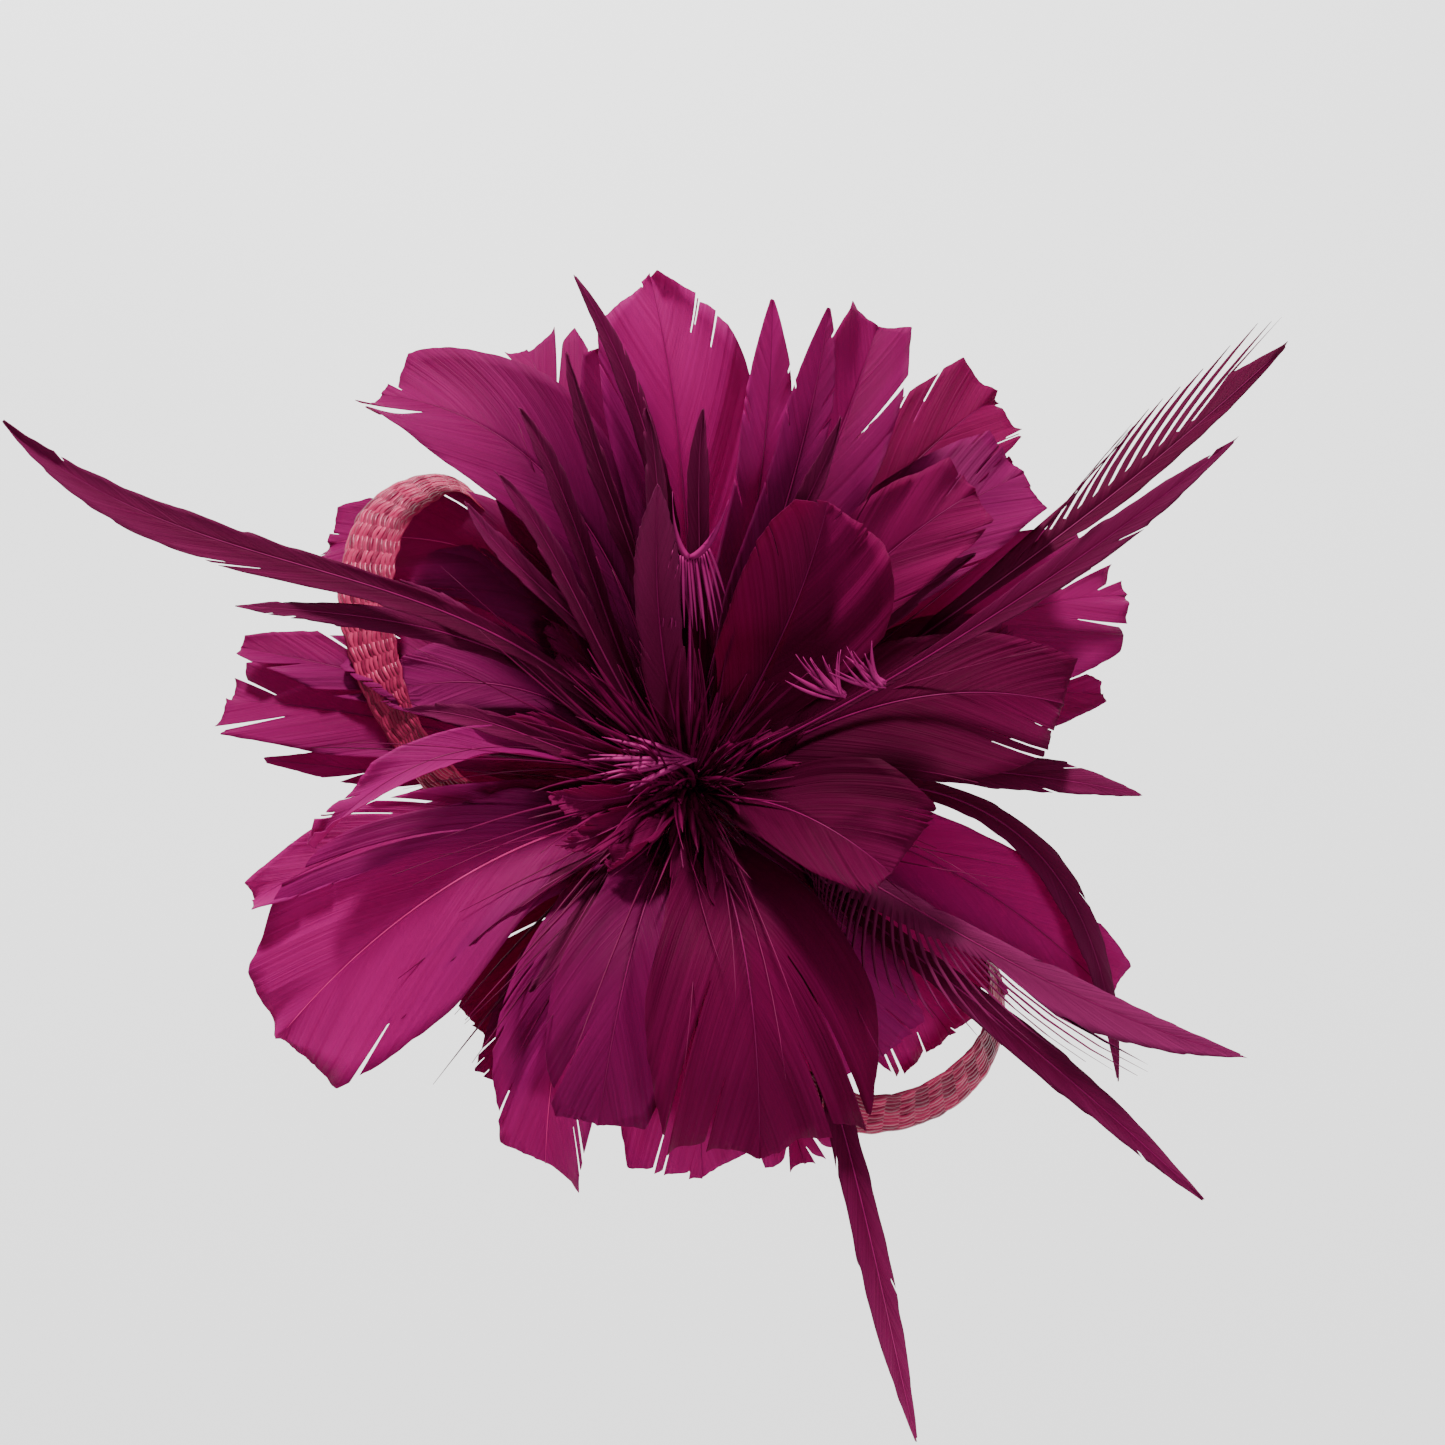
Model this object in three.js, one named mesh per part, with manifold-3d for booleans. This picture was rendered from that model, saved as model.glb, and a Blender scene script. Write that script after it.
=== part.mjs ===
// Feather-flower fascinator: trimmed goose petals, hackles and two braid loops bound round a stem
// core, on a stiffened disc with a hair clip and a brooch pin at the back.
// Millimetres, +Z the way the flower faces, origin in the clip's mouth under the middle of the flower.
import * as THREE from 'three';
import { mergeVertices } from 'three/addons/utils/BufferGeometryUtils.js';
import Module from 'manifold-3d';

const wasm = await Module();
wasm.setup();

// ---------- driving dimensions ----------
const GAP = 0.3; // between pieces that touch
const CORE_R = 4; // bundle of quills
const CORE_BOTTOM = 4.9;
const CORE_TOP = 21;
const ROOT_R = CORE_R + GAP; // where a feather's quill starts
const BINDING_R = 5.2;
const BINDING_TURNS = 4;
const THREAD_R = 0.25;
const DISC_R = 23.5; // stiffened woven base
const DISC_BOTTOM = 3.0;
const DISC_THICK = 1.6;
const PAD_R = 21; // felt under the base
const PAD_BOTTOM = 1.3;
const PAD_THICK = 1.4;

const SHEET = 0.8; // pressed steel of both fastenings
const FACE = 0.15; // half the closed gap between the jaws
const JAW_WIDTH = 8;
const JAW_TIP = 27;
const JAW_BACK = -17;
const CLIP_HINGE = new THREE.Vector3(-12, 0, -2.6);
const CHEEK_R = 2.2;
const CHEEK_OUT = 3.2; // inner face of the fixed jaw's cheeks
const CHEEK_IN = 2.1; // inner face of the lever jaw's cheeks
const CLIP_PIN_R = 0.75;
const LEVER_END = -31;
const LEVER_DROP = 5.5;

const BAR_Y = -13.2; // brooch bar, beside the clip
const BAR_HALF = 15.5;
const BAR_WIDTH = 4.6;
const PIN_Z = -3.2;
const PIN_R = 0.4;
const PIVOT_X = -14;
const RIVET_R = 0.55;
const EAR_GAP = 0.95; // half the space between the ears
const CATCH_X = 12.4;
const CATCH_LENGTH = 2.8;
const CATCH_R = 2.2;
const CATCH_WALL = 0.6;
const GATE_R = 1.3;
const GATE_BORE = 0.8;
const MOUTH = THREE.MathUtils.degToRad(52); // half angle of the catch's and the gate's mouth

const PETAL_THICK = 0.5;
const HACKLE_THICK = 0.45;
const QUILL_HALF = 0.6;
const SOLID_VANE = 0.72; // share of a vane whose barbs hold together as one blade
const BRAID_THICK = 0.9;

// ---------- feathers ----------
// One row each: name, direction in degrees about the stem, reach of the tip, height of the tip,
// upward bow of the shaft [near the root, near the tip], its sideways sweep [near the root, near the
// tip], half-widths of the left vane at about a third, two thirds and the end, the same for the right
// vane, turn of the blade in degrees, cup across it, height of the root on the stem.
const PETALS = [
  ['outer_petal_01', 15, 83, 11, [13, 13], [4, 4], [3, 4, 1], [4, 8, 1], 0, 1, 8],
  ['outer_petal_02', 25, 94, 18, [19, 19], [4, 4], [6, 13, 9], [7, 15, 6], 0, 3, 9.5],
  ['outer_petal_03', 58, 90, 30, [8, 8], [0, 0], [2, 3, 2], [2, 3, 2], 0, 0, 8],
  ['outer_petal_04', 144, 89, 16, [18, 16], [-16, -20], [6, 9, 6], [4, 7, 5], 0, 2, 9],
  ['outer_petal_05', 161.5, 92, 16, [11, 9], [-1, -1], [3, 4, 1], [3, 5, 1], 0, 1, 9.5],
  ['outer_petal_06', 167.5, 92, 12, [11, 11], [0, 0], [4, 7, 7], [4, 7, 7], 0, 1, 8],
  ['outer_petal_07', 175, 82, 12, [5, 5], [4, 2], [2, 2, 0.3], [2, 3, 0.3], 0, 0, 9],
  ['outer_petal_08', -164, 84, 16, [13, 13], [-4, -4], [3, 5, 3], [3, 6, 2], 0, 2, 9],
  ['outer_petal_09', -148, 89, 8, [22, 20], [-4, -4], [10, 20, 14], [9, 19, 8], 0, 3, 11],
  ['outer_petal_10', -110, 75, 8, [21, 21], [-7, -7], [5, 8, 5], [5, 8, 4], 0, 2, 9],
  ['outer_petal_11', -88, 72, 4, [16, 16], [0, 0], [6, 12, 10], [6, 11, 9], 0, 2, 8],
  ['outer_petal_12', -73, 72, 2, [4, 4], [0, 0], [3, 6, 5], [3, 6, 5], 0, 1, 8],
  ['outer_petal_13', -44, 67, 8, [16, 16], [0, 0], [6, 10, 9], [6, 10, 8], 0, 2, 9],
  ['outer_petal_14', -28, 88, 13, [19, 19], [5, 5], [5, 7, 3], [5, 9, 2], 0, 3, 10],
  ['middle_petal_01', 40, 82, 42, [16, 16], [4, 4], [5, 9, 8], [4, 8, 7], 0, 2, 11],
  ['middle_petal_02', 51, 94, 37, [15, 17], [4, 4], [6, 8, 7], [6, 9, 7], 0, 3, 12],
  ['middle_petal_03', 65, 83, 58, [17, 12], [-3, -4], [5, 7, 5], [4, 6, 5], 12, 3, 14],
  ['middle_petal_04', 70, 74, 72, [14, 8], [-4, -5], [3, 3.5, 0.3], [2, 2, 0.3], 0, 0, 16],
  ['middle_petal_05', 78, 73, 72, [8, 8], [-5, -5], [3, 3.5, 0.3], [3, 3, 0.3], 0, 0, 12],
  ['middle_petal_06', 95, 86, 59, [12, 12], [-4, -4], [7, 12, 7], [9, 14, 1], 0, 3, 12],
  ['middle_petal_07', 103, 76, 52, [8, 8], [0, 0], [3, 5, 2], [3, 5, 1], 0, 1, 11],
  ['middle_petal_08', 111, 89, 38, [16, 16], [0, 0], [5, 10, 9], [5, 9, 9], 0, 2, 10],
  ['middle_petal_09', 130, 92, 42, [23, 23], [-16, -16], [6, 9, 5], [7, 12, 7], 0, 4, 12],
  ['middle_petal_10', -103, 69, 22, [21, 21], [-1, -1], [5, 8, 4], [5, 9, 4], 0, 2, 11],
  ['middle_petal_11', -80, 73, 18, [24, 26], [4, 4], [10, 20, 17], [9, 18, 16], 0, 4, 12],
  ['middle_petal_12', -165, 70, 30, [16, 16], [-13, -13], [4, 4.5, 0.5], [4, 4, 0.5], 20, 2, 13],
  ['inner_petal_01', 4, 68, 42, [19, 19], [3, 3], [7, 9, 8], [8, 17, 7], 0, 3, 13.5],
  ['inner_petal_02', 38, 66, 56, [12, 12], [3, 3], [4, 9, 6], [4, 8, 6], 0, 2, 13],
  ['inner_petal_03', 51, 39, 70, [8, 8], [-5, -5], [6, 9, 2], [9, 16, 10], 0, 4, 15.5],
  ['inner_petal_04', -40, 46, 46, [14, 13], [0, 0], [5, 9, 5], [5, 8, 5], 0, 3, 16.5],
];
const HACKLES = [
  ['hackle_01', 156.5, 137, 57, [26, -4], [-14, 12], [3, 5, 0.2], [2, 3, 0.2], 0, 1, 18.5],
  ['hackle_02', 165, 85, 47, [14, 4], [-14, -9], [2, 2.5, 0.2], [2, 2.5, 0.2], 0, 0, 15],
  ['hackle_03', 105, 81, 70, [10, 10], [-8, -9], [2, 2, 0.2], [2, 2, 0.2], 0, 0, 15],
  ['hackle_04', 35, 140, 44, [10, 8], [-8, -8], [2, 6, 0.2], [1, 2.5, 0.2], 0, 0, 16],
  ['hackle_05', 19, 97, 88, [8, 3], [-8, -6], [1, 3, 0.2], [1, 3, 0.2], 0, 0, 19],
  ['hackle_06', -8, 82, 38, [12, 8], [3, 3], [3, 4, 0.2], [2, 3, 0.2], 0, 0, 12],
  ['hackle_07', -36, 96, 12, [26, 22], [24, 36], [2, 3, 0.2], [2, 3, 0.2], 0, 0, 12],
  ['hackle_08', -32, 112, 37, [13, 10], [-2, -12], [2, 3, 0.2], [3, 5, 0.2], 0, 0, 13],
  ['hackle_09', -43, 120, 28, [14, 8], [-2, 1], [2, 3, 0.2], [2, 3, 0.2], 0, 0, 14.5],
  ['hackle_10', -73, 128, 33, [30, -36], [10, 8], [2, 2.5, 0.2], [2, 3, 0.2], 0, 0, 10.5],
  ['hackle_11', 100, 27, 82, [0, 0], [3, 3], [4, 4, 0.2], [4, 4, 0.2], 0, 0, 17],
];

// ---------- braid loops: the two edges of each band, from the stem round and back ----------
const LEFT_LOOP = {
  low: [[-4, 4, 7], [-26, 37, 15], [-47, 64, 22], [-57, 63, 23], [-65, 56, 23], [-68, 45, 23],
    [-68, 34, 23], [-63, 18, 22], [-56, 6, 20], [-47, -4, 17], [-30, -9, 12], [-5, -3, 7]],
  high: [[-4, 3, 8], [-23, 32, 20], [-45, 57, 28], [-50, 54, 29], [-54, 49, 30], [-56, 40, 30],
    [-56, 31, 30], [-54, 19, 29], [-50, 8, 27], [-41, -2, 24], [-27, -6, 17], [-5, -2, 8]],
};
const RIGHT_LOOP = {
  low: [[3, -5, 9.5], [9, -36, 17], [18, -58, 10], [28, -64, 6], [38, -64, 6], [48, -60, 6],
    [55, -53, 6], [58, -45, 7], [58, -35, 8], [52, -24, 9], [38, -13, 9], [5, -3, 7]],
  high: [[3, -4, 10.5], [9, -34, 22], [19, -54, 20], [29, -60, 18], [38, -60, 18], [46, -56, 18],
    [52, -50, 18], [54, -44, 18], [54, -36, 18], [48, -25, 17], [36, -14, 14], [5, -2, 8]],
};

// ---------- materials ----------
const materials = {
  petalBright: new THREE.MeshStandardMaterial({ color: 0xb23a76, roughness: 0.6 }),
  petal: new THREE.MeshStandardMaterial({ color: 0x8e1a5a, roughness: 0.6 }),
  petalDark: new THREE.MeshStandardMaterial({ color: 0x600a38, roughness: 0.65 }),
  hackle: new THREE.MeshStandardMaterial({ color: 0x6a0e40, roughness: 0.5 }),
  braid: new THREE.MeshStandardMaterial({ color: 0xb4496b, roughness: 0.4 }),
  felt: new THREE.MeshStandardMaterial({ color: 0x5a1038, roughness: 0.95 }),
  straw: new THREE.MeshStandardMaterial({ color: 0x86204f, roughness: 0.7 }),
  thread: new THREE.MeshStandardMaterial({ color: 0x3a0a24, roughness: 0.8 }),
  steel: new THREE.MeshStandardMaterial({ color: 0xc8c8cc, roughness: 0.3, metalness: 1 }),
};

const flower = new THREE.Group();

function addPiece(name, geometry, material) {
  const piece = new THREE.Mesh(geometry, material);
  piece.name = name;
  flower.add(piece);
  return piece;
}

// ---------- cutting and joining ----------
function toSolid(geometry) {
  const bare = geometry.clone();
  bare.deleteAttribute('normal');
  bare.deleteAttribute('uv');
  const welded = mergeVertices(bare, 1e-4);
  return new wasm.Manifold(new wasm.Mesh({
    numProp: 3,
    vertProperties: new Float32Array(welded.attributes.position.array),
    triVerts: new Uint32Array(welded.index.array),
  }));
}

function toGeometry(solid) {
  const mesh = solid.getMesh();
  const geometry = new THREE.BufferGeometry();
  geometry.setAttribute('position', new THREE.BufferAttribute(mesh.vertProperties, 3));
  geometry.setIndex(new THREE.BufferAttribute(mesh.triVerts, 1));
  geometry.computeVertexNormals();
  return geometry;
}

function join(...geometries) {
  return geometries.map(toSolid).reduce((whole, part) => whole.add(part));
}

function block(x0, x1, y0, y1, z0, z1) {
  const box = new THREE.BoxGeometry(x1 - x0, y1 - y0, z1 - z0);
  return box.translate((x0 + x1) / 2, (y0 + y1) / 2, (z0 + z1) / 2);
}

// A round bar along Y.
function roundAcross(radius, y0, y1, x, z, sides = 18) {
  const bar = new THREE.CylinderGeometry(radius, radius, y1 - y0, sides);
  return bar.translate(x, (y0 + y1) / 2, z);
}

// A flat outline in the XZ plane, extruded along Y.
function plateAcross(points, y0, y1) {
  const shape = new THREE.Shape(points.map(([x, z]) => new THREE.Vector2(x, z)));
  const plate = new THREE.ExtrudeGeometry(shape, { depth: y1 - y0, bevelEnabled: false });
  return plate.rotateX(Math.PI / 2).translate(0, y1, 0);
}

// ---------- base, stem and binding ----------
function buildBase() {
  const pad = new THREE.CylinderGeometry(PAD_R, PAD_R, PAD_THICK, 48);
  pad.rotateX(Math.PI / 2).translate(0, 0, PAD_BOTTOM + PAD_THICK / 2);
  addPiece('felt_pad', pad, materials.felt);

  const disc = new THREE.CylinderGeometry(DISC_R, DISC_R, DISC_THICK, 48);
  disc.rotateX(Math.PI / 2).translate(0, 0, DISC_BOTTOM + DISC_THICK / 2);
  addPiece('base_disc', disc, materials.straw);

  const profile = [[0, CORE_BOTTOM], [CORE_R, CORE_BOTTOM], [CORE_R, CORE_TOP - 2], [2.6, CORE_TOP - 0.4],
    [0, CORE_TOP]].map(([r, z]) => new THREE.Vector2(r, z));
  addPiece('stem_core', new THREE.LatheGeometry(profile, 24).rotateX(Math.PI / 2), materials.thread);

  // The thread's turns lie side by side, so they are one ring with a ridge for each turn.
  const ring = [new THREE.Vector2(ROOT_R, CORE_BOTTOM)];
  for (let i = 0; i <= BINDING_TURNS * 2; i += 1) {
    const ridge = i % 2 === 1 ? 0 : THREAD_R;
    ring.push(new THREE.Vector2(BINDING_R - ridge, CORE_BOTTOM + i * THREAD_R));
  }
  ring.push(new THREE.Vector2(ROOT_R, ring.at(-1).y), ring[0].clone());
  addPiece('stem_binding', new THREE.LatheGeometry(ring, 18).rotateX(Math.PI / 2), materials.thread);
}

// ---------- hair clip ----------
function buildClip() {
  const halfWidth = JAW_WIDTH / 2;
  const { x: hingeX, z: hingeZ } = CLIP_HINGE;
  const pinHole = () => toSolid(roundAcross(CLIP_PIN_R + GAP, -halfWidth - 1, halfWidth + 1, hingeX, hingeZ));

  // Fixed jaw: a flat plate with a cheek folded down on each side at the hinge.
  const cheek = (y0, y1) => [
    roundAcross(CHEEK_R, y0, y1, hingeX, hingeZ),
    block(hingeX - CHEEK_R, hingeX + CHEEK_R, y0, y1, hingeZ, FACE + SHEET),
  ];
  const fixedJaw = join(
    block(JAW_BACK, JAW_TIP, -halfWidth, halfWidth, FACE, FACE + SHEET),
    ...cheek(CHEEK_OUT, CHEEK_OUT + SHEET),
    ...cheek(-CHEEK_OUT - SHEET, -CHEEK_OUT),
  ).subtract(pinHole());
  addPiece('clip_top_jaw', toGeometry(fixedJaw), materials.steel);

  // Lever jaw: front plate, two round cheeks inside the others, and a thumb lever behind.
  const inner = (side) => {
    const y0 = side > 0 ? CHEEK_IN : -CHEEK_IN - SHEET;
    return [
      roundAcross(CHEEK_R - 0.2, y0, y0 + SHEET, hingeX, hingeZ),
      plateAcross([[hingeX - 1, hingeZ - 1.2], [hingeX + 1.8, hingeZ - 0.6], [hingeX + 5, -FACE - SHEET],
        [hingeX + 5, -FACE], [hingeX + 0.5, -FACE - 0.2]], y0, y0 + SHEET),
      plateAcross([[hingeX - 8, hingeZ - 2.6], [hingeX - 0.2, hingeZ - 1.9], [hingeX, hingeZ],
        [hingeX - 1.5, hingeZ + 0.4], [hingeX - 8, hingeZ - 1.6]], y0, y0 + SHEET),
    ];
  };
  const narrow = CHEEK_IN + SHEET;
  const leverJaw = join(
    block(hingeX + 4, JAW_TIP, -narrow, narrow, -FACE - SHEET, -FACE),
    block(hingeX + 6, JAW_TIP, -halfWidth, halfWidth, -FACE - SHEET, -FACE),
    ...inner(1),
    ...inner(-1),
    plateAcross([[hingeX - 5.5, hingeZ - 1.9], [LEVER_END, hingeZ - LEVER_DROP - 0.2],
      [LEVER_END, hingeZ - LEVER_DROP + 0.6], [hingeX - 5.5, hingeZ - 1.1]], -narrow, narrow),
    plateAcross([[hingeX - 8, hingeZ - 2.6], [LEVER_END, hingeZ - LEVER_DROP - 0.2],
      [LEVER_END, hingeZ - LEVER_DROP + 0.6], [hingeX - 8, hingeZ - 1.8]], -halfWidth, halfWidth),
  ).subtract(pinHole());
  addPiece('clip_lower_jaw', toGeometry(leverJaw), materials.steel);

  const headY = CHEEK_OUT + SHEET + GAP;
  const pin = join(
    roundAcross(CLIP_PIN_R, -headY - 0.2, headY + 0.2, hingeX, hingeZ),
    roundAcross(CLIP_PIN_R + 0.6, headY, headY + 0.5, hingeX, hingeZ),
    roundAcross(CLIP_PIN_R + 0.6, -headY - 0.5, -headY, hingeX, hingeZ),
  );
  addPiece('clip_hinge_pin', toGeometry(pin), materials.steel);

  // Torsion spring: a coil round the pin, one leg back under the plate and one back over the lever.
  const wire = 0.25;
  const coilR = 1.4;
  const turns = 3.5;
  const perTurn = 12;
  const points = [
    new THREE.Vector3(hingeX - 4.6, -1.4, hingeZ + 2.1),
    new THREE.Vector3(hingeX - 2.4, -1.4, hingeZ + 1.8),
  ];
  for (let i = 0; i <= turns * perTurn; i += 1) {
    const angle = Math.PI / 2 - (i / perTurn) * Math.PI * 2;
    const y = -1.35 + (2.7 * i) / (turns * perTurn);
    points.push(new THREE.Vector3(hingeX + coilR * Math.cos(angle), y, hingeZ + coilR * Math.sin(angle)));
  }
  points.push(new THREE.Vector3(hingeX - 2.4, 1.4, hingeZ - 0.9));
  points.push(new THREE.Vector3(hingeX - 6, 1.4, hingeZ - 0.9));
  const section = new THREE.Shape(new THREE.EllipseCurve(0, 0, wire, wire).getPoints(8).slice(0, 8));
  const spring = new THREE.ExtrudeGeometry(section, {
    steps: 130,
    extrudePath: new THREE.CatmullRomCurve3(points),
    bevelEnabled: false,
  });
  addPiece('clip_spring', spring, materials.steel);
}

// ---------- brooch fastening ----------
// A ring round an axis along X with its mouth towards -Z.
function openRing(outer, bore, x0, x1) {
  const shape = new THREE.Shape();
  const start = -Math.PI / 2 + MOUTH;
  const end = (3 * Math.PI) / 2 - MOUTH;
  shape.absarc(0, 0, outer, start, end, false);
  shape.absarc(0, 0, bore, end, start, true);
  const ring = new THREE.ExtrudeGeometry(shape, { depth: x1 - x0, bevelEnabled: false, curveSegments: 20 });
  return ring.rotateX(Math.PI / 2).rotateZ(Math.PI / 2).translate(x0, BAR_Y, PIN_Z);
}

function buildBrooch() {
  const y0 = BAR_Y - BAR_WIDTH / 2;
  const y1 = BAR_Y + BAR_WIDTH / 2;
  const earBlock = (low) => [
    block(PIVOT_X - 1.4, PIVOT_X + 1.4, low, low + SHEET, PIN_Z, FACE + SHEET),
    roundAcross(1.4, low, low + SHEET, PIVOT_X, PIN_Z),
  ];
  const rivetHole = toSolid(roundAcross(RIVET_R + GAP, y0 - 1, y1 + 1, PIVOT_X, PIN_Z));
  const bar = join(
    block(-BAR_HALF, BAR_HALF, y0, y1, FACE, FACE + SHEET),
    ...earBlock(BAR_Y + EAR_GAP),
    ...earBlock(BAR_Y - EAR_GAP - SHEET),
  ).subtract(rivetHole).add(join(
    openRing(CATCH_R, CATCH_R - CATCH_WALL, CATCH_X, CATCH_X + CATCH_LENGTH),
    block(CATCH_X, CATCH_X + CATCH_LENGTH, BAR_Y - 0.8, BAR_Y + 0.8, PIN_Z + CATCH_R - 0.3, FACE + 0.2),
  ));
  addPiece('brooch_bar', toGeometry(bar), materials.steel);

  const headY = EAR_GAP + SHEET + GAP;
  const rivet = join(
    roundAcross(RIVET_R, BAR_Y - headY - 0.2, BAR_Y + headY + 0.2, PIVOT_X, PIN_Z),
    roundAcross(RIVET_R + 0.5, BAR_Y + headY, BAR_Y + headY + 0.4, PIVOT_X, PIN_Z),
    roundAcross(RIVET_R + 0.5, BAR_Y - headY - 0.4, BAR_Y - headY, PIVOT_X, PIN_Z),
  );
  addPiece('brooch_pin_rivet', toGeometry(rivet), materials.steel);

  const eyeHalf = EAR_GAP - GAP;
  const pinProfile = [[0, PIVOT_X + 1.1], [PIN_R, PIVOT_X + 1.1], [PIN_R, BAR_HALF - 3],
    [0.08, BAR_HALF + 0.7], [0, BAR_HALF + 0.8]].map(([r, x]) => new THREE.Vector2(r, x));
  const needle = new THREE.LatheGeometry(pinProfile, 16).rotateZ(-Math.PI / 2).translate(0, BAR_Y, PIN_Z);
  const pin = toSolid(roundAcross(1.6, BAR_Y - eyeHalf, BAR_Y + eyeHalf, PIVOT_X, PIN_Z))
    .subtract(toSolid(roundAcross(RIVET_R + GAP, y0, y1, PIVOT_X, PIN_Z)))
    .add(toSolid(needle));
  addPiece('brooch_pin', toGeometry(pin), materials.steel);

  // Turning gate: a slotted sleeve in the catch, with a thumb tab outside its end.
  const tabX = CATCH_X + CATCH_LENGTH + GAP;
  const gate = join(
    openRing(GATE_R, GATE_BORE, CATCH_X + 0.1, tabX + 1),
    block(tabX, tabX + 1, BAR_Y - 3.6, BAR_Y - GATE_BORE - 0.15, PIN_Z - 0.5, PIN_Z + 0.5),
  );
  addPiece('safety_catch_gate', toGeometry(gate), materials.steel);
}

// ---------- feathers ----------
const UP = new THREE.Vector3(0, 0, 1);

// Half-width of one vane at share u of the shaft: bare quill, then the three stated widths.
function vaneWidth(widths, u) {
  const stops = [[0, QUILL_HALF], [0.12, QUILL_HALF * 1.3],
    [0.35, widths[0]], [0.7, widths[1]], [1, widths[2]]];
  const i = stops.findIndex(([share]) => u <= share);
  if (i < 1) return QUILL_HALF;
  const [before, from] = stops[i - 1];
  const [after, to] = stops[i];
  const k = (u - before) / (after - before);
  const ease = after === 1 ? k ** 2 : k * k * (3 - 2 * k);
  return from + (to - from) * ease;
}

// A feather blade: a thin slab bent along its shaft, cupped across, narrow at the quill.
function featherBlade(row, thickness, across, along) {
  const [, degrees, reach, tipHeight, bow, sweep, left, right, turn, cup, rootHeight] = row;
  const direction = THREE.MathUtils.degToRad(degrees);
  const outward = new THREE.Vector3(Math.cos(direction), Math.sin(direction), 0);
  const sideways = new THREE.Vector3(-Math.sin(direction), Math.cos(direction), 0);
  const root = outward.clone().multiplyScalar(ROOT_R).addScaledVector(UP, rootHeight);
  const tip = outward.clone().multiplyScalar(reach).addScaledVector(UP, tipHeight);
  const [near, far] = [0, 1].map((i) => root.clone().lerp(tip, (i + 1) / 3)
    .addScaledVector(UP, bow[i]).addScaledVector(sideways, sweep[i]));
  const shaft = new THREE.CubicBezierCurve3(root, near, far, tip);
  const roll = THREE.MathUtils.degToRad(turn);

  const blade = new THREE.BoxGeometry(2, 1, 1, across, 1, along);
  const { position } = blade.attributes;
  for (let i = 0; i < position.count; i += 1) {
    const u = position.getZ(i) + 0.5;
    const v = position.getX(i);
    const tangent = shaft.getTangent(u);
    const side = sideways.clone().addScaledVector(tangent, -sideways.dot(tangent)).normalize();
    const normal = tangent.clone().cross(side);
    const acrossBlade = side.clone().multiplyScalar(Math.cos(roll)).addScaledVector(normal, Math.sin(roll));
    const face = normal.multiplyScalar(Math.cos(roll)).addScaledVector(side, -Math.sin(roll));
    const width = vaneWidth(v > 0 ? left : right, u) * (u > 0.12 ? SOLID_VANE : 1);
    const lift = cup * Math.min(1, u * 2) * v * v + thickness * position.getY(i);
    const point = shaft.getPoint(u).addScaledVector(acrossBlade, v * width).addScaledVector(face, lift);
    position.setXYZ(i, point.x, point.y, point.z);
  }
  return blade;
}

// ---------- braid loops ----------
// A flat band between two edge curves.
function braidLoop({ low, high }, steps) {
  const lowEdge = new THREE.CatmullRomCurve3(low.map((p) => new THREE.Vector3(...p)));
  const highEdge = new THREE.CatmullRomCurve3(high.map((p) => new THREE.Vector3(...p)));
  const band = new THREE.BoxGeometry(1, 1, 1, 1, 1, steps);
  const { position } = band.attributes;
  for (let i = 0; i < position.count; i += 1) {
    const u = position.getZ(i) + 0.5;
    const a = lowEdge.getPoint(u);
    const b = highEdge.getPoint(u);
    const across = b.clone().sub(a).normalize();
    const face = lowEdge.getTangent(u).cross(across).normalize();
    const point = a.lerp(b, position.getX(i) + 0.5).addScaledVector(face, position.getY(i) * BRAID_THICK);
    position.setXYZ(i, point.x, point.y, point.z);
  }
  return band;
}

buildBase();
buildClip();
buildBrooch();
for (const row of PETALS) {
  const material = row[0].startsWith('inner') ? materials.petalDark
    : row[0].startsWith('middle') ? materials.petal : materials.petalBright;
  addPiece(row[0], featherBlade(row, PETAL_THICK, 4, 8), material);
}
for (const row of HACKLES) {
  addPiece(row[0], featherBlade(row, HACKLE_THICK, 2, 10), materials.hackle);
}
addPiece('left_braid_loop', braidLoop(LEFT_LOOP, 36), materials.braid);
addPiece('right_braid_loop', braidLoop(RIGHT_LOOP, 36), materials.braid);

export default flower;
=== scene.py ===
import math

import bmesh
import bpy
import numpy as np
from mathutils import Matrix, Vector


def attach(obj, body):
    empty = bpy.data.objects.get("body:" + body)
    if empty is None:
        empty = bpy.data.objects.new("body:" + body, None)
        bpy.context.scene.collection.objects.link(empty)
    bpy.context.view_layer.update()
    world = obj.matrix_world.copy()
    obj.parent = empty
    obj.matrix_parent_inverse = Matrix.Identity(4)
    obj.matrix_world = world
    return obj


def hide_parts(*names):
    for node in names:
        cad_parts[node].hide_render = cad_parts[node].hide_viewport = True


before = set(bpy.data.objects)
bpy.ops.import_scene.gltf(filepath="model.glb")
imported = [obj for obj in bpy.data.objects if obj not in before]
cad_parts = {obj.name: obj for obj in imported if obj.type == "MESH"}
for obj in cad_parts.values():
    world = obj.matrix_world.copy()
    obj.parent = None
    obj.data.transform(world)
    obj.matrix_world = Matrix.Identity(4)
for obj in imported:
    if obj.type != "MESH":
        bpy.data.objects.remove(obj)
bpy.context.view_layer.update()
MM = 0.001

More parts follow.
